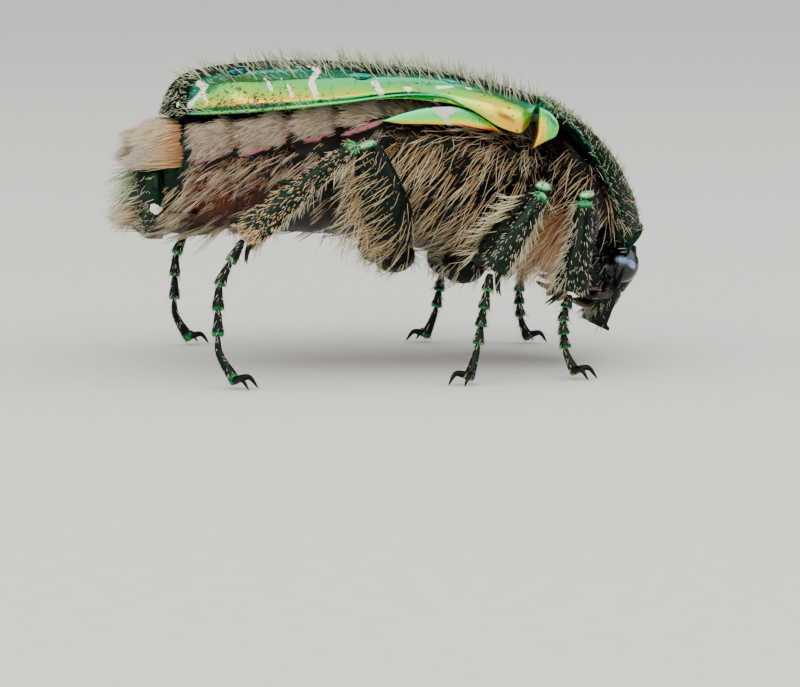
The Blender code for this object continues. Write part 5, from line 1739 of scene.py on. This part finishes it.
@dataclass
class Head:
    """The head with its flat square shield, eyes, clubbed feelers and palps."""

    base: Point = (7.22, 0.0, 3.67)
    pitch: float = math.radians(115)
    length: float = 2.6
    half: Knots = (
        (0.0, 1.05), (0.15, 1.25), (0.3, 1.3), (0.48, 1.1), (0.7, 1.02), (0.95, 1.02), (1.0, 0.9),
    )
    brow: Knots = ((0.0, 0.62), (0.3, 0.92), (0.6, 0.82), (0.93, 0.72), (1.0, 0.78))
    throat: Knots = ((0.0, -0.6), (0.3, -0.62), (0.7, -0.25), (0.88, 0.1), (1.0, 0.2))
    eye: Point = (0.68, 1.22, 0.28)
    eye_size: Point = (0.52, 0.42, 0.5)
    ridge: tuple = ((1.35, 0.95, 0.45), (1.2, 1.45, 0.36), (0.85, 1.62, 0.3), (0.6, 1.6, 0.28))
    feeler: tuple = ((1.6, 1.2, 0.2), (1.72, 1.75, 0.02), (1.8, 2.2, -0.35), (2.0, 3.0, -0.95))
    palp: tuple = ((1.7, 0.45, -0.5), (2.0, 0.7, -0.85), (2.4, 0.85, -0.95))
    neck: Point = (6.8, 0.0, 3.85)
    neck_size: Point = (0.6, 1.15, 0.6)

    def build(self) -> None:
        """Builds every piece of the head."""
        t = np.concatenate([np.linspace(0, 0.97, 96), 1 - 0.03 * (1 - np.linspace(0.1, 1, 10)) ** 2])
        t = t[:, None]
        turn = round_turns(120)
        brow, throat = smooth_line(self.brow, t), smooth_line(self.throat, t)
        level = (brow + throat) / 2
        half = smooth_line(self.half, t)
        across, up = oval(turn, half, brow - level, level - throat, 3.0, 2.4)
        top = ramp(up, 0.0, 0.15)
        rim = 0.1 * ramp(t, 0.6, 0.7) * (hump(np.abs(across) / half, 0.97, 0.08) + ramp(t, 0.94, 0.97))
        notch = 0.14 * hump(across, 0, 0.3) * ramp(t, 0.9, 1.0)
        groove = -0.05 * hump(t, 0.55, 0.02)
        cheek = 0.06 * hump(t, 0.28, 0.06) * hump(np.abs(across), 1.1, 0.3)
        z = level + up + top * (rim + groove + cheek)
        grid = np.stack([t * self.length - notch, across, z], 2)
        skull = nod(grid, self.base, self.pitch)
        # The teal at the front edge of the shield is a painted reflection; a fainter lighter band lies across
        # at six tenths of the length.
        sweep = 0.25 + 0.4 * hump(t, 0.95, 0.04) * top + 0.2 * hump(t, 0.6, 0.05) + 0 * across
        shape = loft(skull, {"sweep": np.clip(sweep, 0, 1)})
        shape.build("head_capsule", Finish.HEAD, "head", "head")
        for name, side in SIDES.items():
            self.build_eye(name, side)
            self.build_feeler(name, side)
            self.build_palp(name, side)
        neck = ball(30, 48) * np.array(self.neck_size) + np.array(self.neck)
        plain(loft(neck), 0.3).build("neck_skin", Finish.UNDERSIDE, "underside")
        self.coat(closed(skull))

    def build_eye(self, name: str, side: int) -> None:
        """A round eye with a ridge of the cheek let into its front.

        Args:
            name: The side's name.
            side: Its sign.
        """
        orb = ball(60, 80, 0.01)[..., [1, 0, 2]]
        centre = np.array(self.eye) * [1, side, 1]
        points = nod(orb * np.array(self.eye_size) + centre, self.base, self.pitch)
        # The pale blue patch on the outer side is a painted reflection of the sky.
        sweep = 0.3 + 0.7 * hump(orb[..., 1] * side, 0.86, 0.2) * hump(orb[..., 0], -0.25, 0.3)
        loft(points, {"sweep": sweep}).build(f"eye_ball_{name}", Finish.EYE, "eyes", f"eye_{name}")
        ridge = read_path(np.array(self.ridge) * [1, side, 1], np.linspace(0, 1, 30))
        path = nod(ridge, self.base, self.pitch)
        half = 0.1 * np.sin(np.linspace(0.5, math.pi - 0.05, 30)) + 0.01
        rings = limb_rings(path, (0.3, 0, 1), half, np.full(30, 0.7), 16)
        plain(loft(rings), 0.4).build(f"eye_ridge_{name}", Finish.HEAD, "head")

    def build_feeler(self, name: str, side: int) -> None:
        """Ten joints: a stout first, a bead, five narrow ones and a club of three leaves.

        Args:
            name: The side's name.
            side: Its sign.
        """
        points = np.array(self.feeler) * [1, side, 1]
        stem = read_path(points[:3], np.linspace(0, 1, 8))
        joints = []
        sizes = (0.2, 0.15, 0.12, 0.12, 0.13, 0.14, 0.15)
        for a, b, size in zip(stem, stem[1:], sizes):
            t = np.linspace(0, 1, 16)
            half = size * np.sin(np.clip(t * 2.5 + 0.35, 0, math.pi - 0.3)) ** 0.6
            path = a + np.outer(t * 1.04, b - a)
            joints.append(loft(limb_rings(path, (1, 0, 0), half, np.ones(16), 20)))
        base, tip = points[2], points[3]
        for offset in (-0.22, 0.0, 0.22):
            t = np.linspace(-0.05, 1, 40)
            path = base + np.outer(t, tip - base) + [offset * 0.8, 0, 0]
            path[:, 0] += offset * 0.5 * np.sin(np.clip(t, 0, 1) * math.pi)
            half = 0.33 * np.sin(np.clip(t * 2.75 + 0.3, 0, math.pi - 0.06)) ** 0.55
            joints.append(loft(limb_rings(path, (0, 0.6 * side, 1), half, np.full(40, 0.27), 28)))
        shape = Shape.join([plain(joint, 0.4) for joint in joints])
        shape.vertices = nod(shape.vertices, self.base, self.pitch)
        shape.build(f"feeler_{name}", Finish.FEELER, "feelers", f"antenna_{name}")

    def build_palp(self, name: str, side: int) -> None:
        """Three joints, the last one the longest.

        Args:
            name: The side's name.
            side: Its sign.
        """
        stem = read_path(np.array(self.palp) * [1, side, 1], np.array([0, 0.28, 0.52, 1.0]))
        joints = []
        for a, b, size in zip(stem, stem[1:], (0.13, 0.12, 0.15)):
            t = np.linspace(0, 1, 20)
            half = size * np.sin(np.clip(t * 2.7 + 0.3, 0, math.pi - 0.15)) ** 0.6
            path = a + np.outer(t * 1.03, b - a)
            joints.append(plain(loft(limb_rings(path, (1, 0, 0), half, np.ones(20), 18)), 0.7))
        shape = Shape.join(joints)
        shape.vertices = nod(shape.vertices, self.base, self.pitch)
        shape.build(f"mouth_palp_{name}", Finish.FEELER, "feelers", f"palp_{name}")

    def coat(self, grid: Array) -> None:
        """Short pale bristles all over, longer on the cheeks and throat.

        Args:
            grid: The skull's grid.
        """
        coat = Coat("head_bristles", Finish.BACK_HAIR, "head", 220)
        short = Tuft(620, 1, (0.1, 0.2), 0.008, 0.03, 40, 0.1, 0.0, 0.4)
        long = Tuft(110, 2, (0.3, 0.6), 0.01, 0.05, 45, 0.1, 0.2, 0.3, 0.05, 5)
        coat.grow(Skin(grid), short, toward(0.5, 0.1, -1))
        coat.grow(Skin(grid), long, toward(-0.5, 0.2, -1), lambda p, n: (n[..., 0] < 0.1) * 1.0)
        coat.build()


class Pair(Enum):
    """Which pair of legs."""

    FRONT = "front"
    MIDDLE = "middle"
    HIND = "hind"


# The hair behind each pair's thighs, how it grows and which way it points
FRINGES: dict[Pair, tuple[Finish, Tuft, Point]] = {
    Pair.FRONT: (
        Finish.RUST_HAIR,
        Tuft(130, 5, (1.2, 2.1), 0.013, 0.12, 34, 0.05, 0.6, 0.22, 0.07, 7),
        (-0.7, 0.1, -0.75),
    ),
    Pair.MIDDLE: (
        Finish.LEG_HAIR,
        Tuft(62, 1, (0.65, 0.95), 0.021, 0.02, 48, 0.04, 0.0, 0.12, 0.04, 6),
        (-0.95, 0.1, -0.2),
    ),
    Pair.HIND: (
        Finish.BREAST_HAIR,
        Tuft(120, 1, (0.8, 1.5), 0.016, 0.04, 34, 0.05, 0.0, 0.25, 0.1, 8),
        (-0.7, 0.1, -0.7),
    ),
}


@dataclass
class Leg:
    """One leg: hip, thigh, shin with teeth and spurs, and a foot of five joints."""

    pair: Pair
    coxa: tuple
    femur: tuple
    tibia: tuple
    tarsus: tuple
    coxa_width: float
    femur_width: float
    tibia_width: float
    far_shift: tuple[float, float]
    side_name: str = "right"
    coxa_profile: Knots = ((0, 0.1), (0.04, 0.6), (0.4, 1), (0.94, 0.66), (1, 0.1))
    femur_profile: Knots = (
        (0, 0.08), (0.03, 0.42), (0.12, 0.66), (0.4, 1),
        (0.84, 0.7), (0.95, 0.52), (0.99, 0.3), (1, 0.05),
    )
    tibia_profile: Knots = (
        (0, 0.05), (0.02, 0.36), (0.07, 0.56), (0.15, 0.55),
        (0.5, 0.72), (0.93, 0.98), (0.98, 0.95), (1, 0.4),
    )
    joint_profile: Knots = ((0, 0.06), (0.06, 0.45), (0.5, 0.75), (0.88, 1.0), (0.97, 0.85), (1, 0.2))

    def __post_init__(self) -> None:
        """Works out what the side decides, and starts the leg's bristles."""
        self.side = SIDES[self.side_name]
        self.name = f"{self.pair.value}_{self.side_name}"
        self.shift = self.far_shift if self.side > 0 else (0.0, 0.0)
        self.seed = 300 + 10 * list(Pair).index(self.pair) + (self.side > 0)
        self.coat = Coat(f"{self.name}_bristles", Finish.LEG_HAIR, "legs", self.seed)

    def path(self, points: tuple, shift: tuple[float, float] = (0.0, 0.0)) -> Array:
        """A limb's points on this side, moved along the body and outwards."""
        return (np.array(points) + [*shift, 0]) * [1, self.side, 1]

    def limb(self, line: Array, profile: Knots, width: float, flat: float, wide: Any) -> tuple:
        """Rings of a limb, close together at both ends.

        Args:
            line: Points along it.
            profile: Its half width by the share along it.
            width: The half width at one in the profile.
            flat: Its depth over its width.
            wide: The way its width points.
        Returns:
            The rings, the path that they stand on, and the share along it of each.
        """
        t = (1 - np.cos(np.linspace(0, math.pi, 70))) / 2
        path = read_path(line, t)
        half = width * smooth_line(profile, t)
        return limb_rings(path, wide, half, np.full(70, flat), 36), path, t

    def build(self) -> None:
        """Builds the leg's four pieces and its bristles."""
        line = self.path(self.coxa)
        rings, _, _ = self.limb(line, self.coxa_profile, self.coxa_width, 0.85, (1, 0, 0))
        hip = plain(loft(rings), 0.5)
        hip.build(f"{self.name}_hip", Finish.UNDERSIDE, "underside", f"{self.name}_coxa")
        few = Tuft(60, 3, (0.3, 0.6), 0.01, 0.06, 35, 0.1, 0.3, 0.3, 0.05, 5)
        self.coat.grow(Skin(closed(rings)), few, toward(-0.5, 0.1, -0.8))
        self.build_femur()
        self.build_tibia()
        self.build_tarsus()
        self.coat.build()

    def build_femur(self) -> None:
        """The thigh, flattened, with a painted highlight on the knee, short bristles and a fringe behind it.
        """
        line = self.path(self.femur)
        rings, path, t = self.limb(line, self.femur_profile, self.femur_width, 0.62, (1, 0, 0.3))
        # The pale green at the knee end is a painted highlight.
        sweep = 0.25 + 0.75 * ramp(t, 0.945, 0.985)[:, None] + 0 * rings[..., 0]
        thigh = loft(rings, {"sweep": sweep})
        thigh.build(f"{self.name}_thigh", Finish.LEG, "legs", f"{self.name}_femur")
        skin = Skin(closed(rings))
        short = Tuft(420, 1, (0.12, 0.26), 0.01, 0.03, 26, 0.1, 0.0, 0.3)
        self.coat.grow(skin, short, along(unit(path[-1] - path[0])))
        finish, fringe, way = FRINGES[self.pair]
        low = lambda p: ramp(line[-1][2] - p[..., 2], 0.3, 0.55)
        rear = lambda p, n: ramp(-n[..., 0], 0.35, 0.8) * ramp(np.abs(p[..., 1]), 2.3, 2.9) * low(p)
        hair = Coat(f"{self.name}_fringe", finish, "legs", self.seed + 5)
        hair.grow(skin, fringe, toward(*way), rear)
        if self.pair is Pair.HIND:
            facing = lambda p, n: ramp(n[..., 1] * self.side, 0.1, 0.5)
            cover = Tuft(120, 1, (0.7, 1.3), 0.013, 0.04, 13, 0.02, 0.0, 0.18, 0.08, 9)
            hair.grow(skin, cover, toward(-0.8, 0.1, -0.5), facing)
        hair.build()

    def build_tibia(self) -> None:
        """The shin, with a keel, teeth on its outer edge and two spurs at its end."""
        line = self.path(self.tibia)
        line[1:] += np.outer([0.5, 1], [self.shift[0], self.side * self.shift[1], 0])
        heading = unit(line[-1] - line[0])
        outer = unit(np.cross(heading, [0, 1, 0]))
        outer = outer * np.sign(outer[0]) * (1 if self.pair is Pair.FRONT else -1)
        rings, path, t = self.limb(line, self.tibia_profile, self.tibia_width, 0.62, outer)
        keel = 0.04 * hump(np.sin(round_turns(36)[0]), 1, 0.25)
        reach = (keel * 3)[None, :, None]
        rings = rings + (rings - path[:, None]) * reach * ramp(t, 0.1, 0.3)[:, None, None]
        # The top of the shin by the knee is lighter as a painted highlight.
        sweep = 0.45 + 0.4 * ramp(0.12 - t, 0.0, 0.1)[:, None] + 0 * rings[..., 0]
        parts = [loft(rings, {"sweep": sweep})]
        teeth = (0.45, 0.7, 0.95) if self.pair is Pair.FRONT else (0.52, 0.94)
        for share in teeth:
            root = read_path(line, np.array([share]))[0] + outer * self.tibia_width * 0.4
            tip = root + outer * 0.45 * (0.6 + 0.5 * share) + heading * 0.3
            parts.append(plain(horn([root, (root + tip) / 2 + outer * 0.05, tip], 0.15), 0.4))
        for offset in (-0.12, 0.14):
            root = path[-6] - outer * self.tibia_width * 0.45 + [0, offset, 0]
            tip = root + heading * 0.52 - outer * 0.4 + [0, offset, 0]
            parts.append(plain(horn([root, (root + tip) / 2 + heading * 0.05, tip], 0.07), 0.3))
        Shape.join(parts).build(f"{self.name}_shin", Finish.LEG, "legs", f"{self.name}_tibia")
        skin = Skin(closed(rings))
        down = along(heading)
        inner = lambda p, n: ramp(-(n @ outer), 0.3, 0.8)
        self.coat.grow(skin, Tuft(420, 1, (0.12, 0.28), 0.012, 0.03, 30, 0.1, 0.0, 0.3), down)
        self.coat.grow(skin, Tuft(60, 2, (0.35, 0.7), 0.01, 0.06, 40, 0.05, 0.3, 0.2, 0.06, 6), down, inner)
        if self.pair is Pair.HIND:
            stubble = Coat(f"{self.name}_stubble", Finish.TAIL_HAIR, "legs", self.seed + 7)
            lower = lambda p, n: 0.15 + ramp(-np.linalg.norm(p - line[-1], axis=-1), -0.7, -0.3)
            stubble.grow(skin, Tuft(520, 1, (0.14, 0.3), 0.017, 0.03, 24, 0.1, 0.0, 0.3), down)
            stubble.grow(skin, Tuft(260, 2, (0.2, 0.36), 0.017, 0.05, 30, 0.1, 0.0, 0.2), down, lower)
            stubble.build()

    def build_tarsus(self) -> None:
        """Five joints that flare towards their ends, and two hooked claws."""
        line = self.path(self.tarsus, self.shift)
        edges = np.concatenate([np.linspace(0, 0.66, 5), [1]])
        parts = []
        for k, (a, b) in enumerate(zip(edges, edges[1:])):
            t = np.linspace(0, 1, 26)
            path = read_path(line, a + (b - a) * (t * 1.06 - 0.03))
            half = (0.19 if k < 4 else 0.17) * smooth_line(self.joint_profile, t)
            rings = limb_rings(path, (0.3, self.side, 0.2), half, np.full(26, 0.9), 24)
            sweep = (0.3 + 0.4 * ramp(t, 0.7, 0.9))[:, None] + 0 * rings[..., 0]
            parts.append(loft(rings, {"sweep": sweep}))
            tuft = Tuft(46, 1, (0.14, 0.32), 0.012, 0.02, 38, 0.05, 0.0, 0.3)
            self.coat.grow(Skin(closed(rings)), tuft, along(unit(path[-1] - path[0])))
        heading = unit((line[-1] - line[-2]) * [1, 1, 0])
        across = np.array([-heading[1], heading[0], 0])
        for way in (-1, 1):
            start = line[-1] - heading * 0.1 + [0, 0, 0.08]
            bend = start + (heading * 0.45 + across * way * 0.3) * 0.75 + [0, 0, 0.1]
            tip = start + (heading * 0.85 + across * way * 0.39) * 0.75
            tip[2] = 0.03
            parts.append(plain(horn([start, bend, tip], 0.12, 12, 16), 0.2))
        shape = Shape.join(parts)
        shape.vertices[:, 2] = np.maximum(shape.vertices[:, 2], 0.0)
        shape.build(f"{self.name}_foot", Finish.LEG, "legs", f"{self.name}_tarsus")


LEGS = (
    Leg(
        Pair.FRONT,
        coxa=((5.06, 0.95, 4.12), (5.42, 2.05, 3.22)),
        femur=((5.45, 2.2, 3.25), (5.55, 3.6, 4.15), (5.48, 4.6, 5.3)),
        tibia=((5.4, 4.75, 5.1), (5.25, 4.75, 3.8), (5.02, 4.6, 2.5)),
        tarsus=((5.0, 4.6, 2.4), (4.82, 4.6, 1.6), (4.88, 4.65, 0.85), (5.15, 4.85, 0.16)),
        coxa_width=0.68, femur_width=0.52, tibia_width=0.5, far_shift=(0.35, 0.15),
    ),
    Leg(
        Pair.MIDDLE,
        coxa=((2.3, 0.8, 2.95), (2.6, 2.3, 3.05)),
        femur=((2.7, 2.4, 3.1), (3.55, 4.1, 4.4), (4.2, 5.15, 5.6)),
        tibia=((4.1, 5.35, 5.35), (3.4, 5.5, 4.25), (2.62, 5.5, 3.2)),
        tarsus=((2.58, 5.5, 3.1), (2.36, 5.5, 1.95), (2.2, 5.55, 1.0), (1.92, 5.8, 0.16)),
        coxa_width=0.62, femur_width=0.6, tibia_width=0.42, far_shift=(0.5, 0.1),
    ),
    Leg(
        Pair.HIND,
        coxa=((0.4, 0.8, 3.3), (0.35, 2.9, 3.4)),
        femur=((0.32, 3.0, 3.45), (-0.3, 4.45, 5.1), (-0.9, 4.97, 6.8)),
        tibia=((-1.1, 5.1, 6.75), (-2.7, 5.3, 5.5), (-4.3, 5.4, 4.2)),
        tarsus=((-4.36, 5.42, 4.12), (-5.05, 5.5, 2.6), (-5.08, 5.6, 1.2), (-4.6, 5.9, 0.16)),
        coxa_width=0.6, femur_width=0.72, tibia_width=0.46, far_shift=(-0.3, 0.2),
    ),
)


def aimed(way: Vector) -> Euler:
    """The turn that points a lamp or a camera this way."""
    return way.to_track_quat("-Z", "Y").to_euler()


@dataclass
class Studio:
    """Pale floor, soft lights, and the camera at the photo's angle and framing."""

    azimuth: float = math.radians(-8)
    elevation: float = math.radians(6)
    distance: float = 110.0
    target: Point = (0.8, 0.0, 0.59)
    lens_mm: float = 168.3
    sensor_mm: float = 36.0
    # In metres, as the floor's reach is
    clip: tuple[float, float] = (0.001, 20.0)
    floor_reach: float = 3.0
    fibre_mm: float = 0.6
    room_power: float = 0.22
    # Place and side of each soft light in millimetres, its watts and its colour
    soft_lights: tuple = (
        ("key", (-60, -230, 150), 340, 0.9, "#fff8ee"),
        ("left", (-270, -40, 120), 300, 0.4, "#fffaf2"),
        ("right", (260, -110, 120), 300, 0.45, "#f2f7ff"),
    )
    aim: Point = (0.0, 0.0, 6.0)
    # The lean of the light from above to the right and the front, and the angle that it fills
    sky_lean: tuple[float, float] = (10, 8)
    sky_wide: float = 116

    def build(self) -> None:
        """Builds the camera, the floor, the world and the lights."""
        scene = bpy.context.scene
        lens = bpy.data.cameras.new("camera")
        lens.lens, lens.sensor_width, lens.sensor_fit = self.lens_mm, self.sensor_mm, "HORIZONTAL"
        lens.clip_start, lens.clip_end = self.clip
        camera = bpy.data.objects.new("camera", lens)
        scene.collection.objects.link(camera)
        a, e = self.azimuth, self.elevation
        back = np.array([math.sin(a) * math.cos(e), -math.cos(a) * math.cos(e), math.sin(e)])
        camera.location = Vector((np.array(self.target) + OFFSET + back * self.distance) * MM)
        camera.rotation_euler = aimed(Vector(-back))
        scene.camera = camera
        self.floor()
        self.world()
        self.lights()

    def floor(self) -> None:
        """A flat floor far larger than the view, matt like seamless paper."""
        mesh = bpy.data.meshes.new("floor")
        signs = ((-1, -1), (1, -1), (1, 1), (-1, 1))
        corners = [(x * self.floor_reach, y * self.floor_reach, 0) for x, y in signs]
        mesh.from_pydata(corners, [], [(0, 1, 2, 3)])
        made = bpy.data.materials.new("pale_paper")
        made.use_nodes = True
        tree = made.node_tree
        place = add_node(tree, "ShaderNodeTexCoord").outputs["Object"]
        fibre = add_node(tree, "ShaderNodeTexNoise", sized(place, self.fibre_mm))
        tint = add_node(tree, "ShaderNodeValToRGB", {"Fac": fibre.outputs["Fac"]})
        fill_ramp(tint, ((0.3, "#dcd9d2"), (0.7, "#e2dfd9")))
        shader = tree.nodes["Principled BSDF"]
        tree.links.new(tint.outputs["Color"], shader.inputs["Base Color"])
        shader.inputs["Roughness"].default_value = 0.85
        floor = bpy.data.objects.new("floor", mesh)
        mesh.materials.append(made)
        bpy.context.scene.collection.objects.link(floor)

    def world(self) -> None:
        """An even dim room, so that gloss stays dark away from the lights."""
        world = bpy.data.worlds.new("room")
        world.use_nodes = True
        shade = world.node_tree.nodes["Background"]
        shade.inputs["Color"].default_value = linear("#dfe6e2")
        shade.inputs["Strength"].default_value = self.room_power
        bpy.context.scene.world = world

    def lamp(self, name: str, kind: str, power: float, code: str) -> bpy.types.Object:
        """Adds a lamp.

        Args:
            name: Its name.
            kind: Blender's word for its kind.
            power: Its strength.
            code: Its colour as sRGB hex.
        Returns:
            The lamp, still at the origin.
        """
        data = bpy.data.lights.new(name, kind)
        data.energy, data.color = power, linear(code)[:3]
        light = bpy.data.objects.new(name, data)
        bpy.context.scene.collection.objects.link(light)
        return light

    def lights(self) -> None:
        """Soft square lights that face the beetle, and a broad one from far above."""
        for name, place, size, power, code in self.soft_lights:
            light = self.lamp(name, "AREA", power, code)
            light.data.size = size * MM
            light.location = Vector(place) * MM
            light.rotation_euler = aimed(Vector(self.aim) * MM - light.location)
        light = self.lamp("overhead", "SUN", 3.0, "#fbfdff")
        light.data.angle = math.radians(self.sky_wide)
        right, front = (math.tan(math.radians(angle)) for angle in self.sky_lean)
        light.rotation_euler = aimed(Vector((-right, front, -1)))


def main() -> None:
    """Builds the studio and then the beetle, piece by piece."""
    logging.basicConfig(level=logging.INFO, format="%(message)s")
    Studio().build()
    legs = [replace(leg, side_name=side_name) for leg in LEGS for side_name in SIDES]
    for part in (Elytra(), Scutellum(), Prothorax(), Trunk(), TailPlate(), SidePlates(), Head(), *legs):
        part.build()


if __name__ == "__main__":
    main()
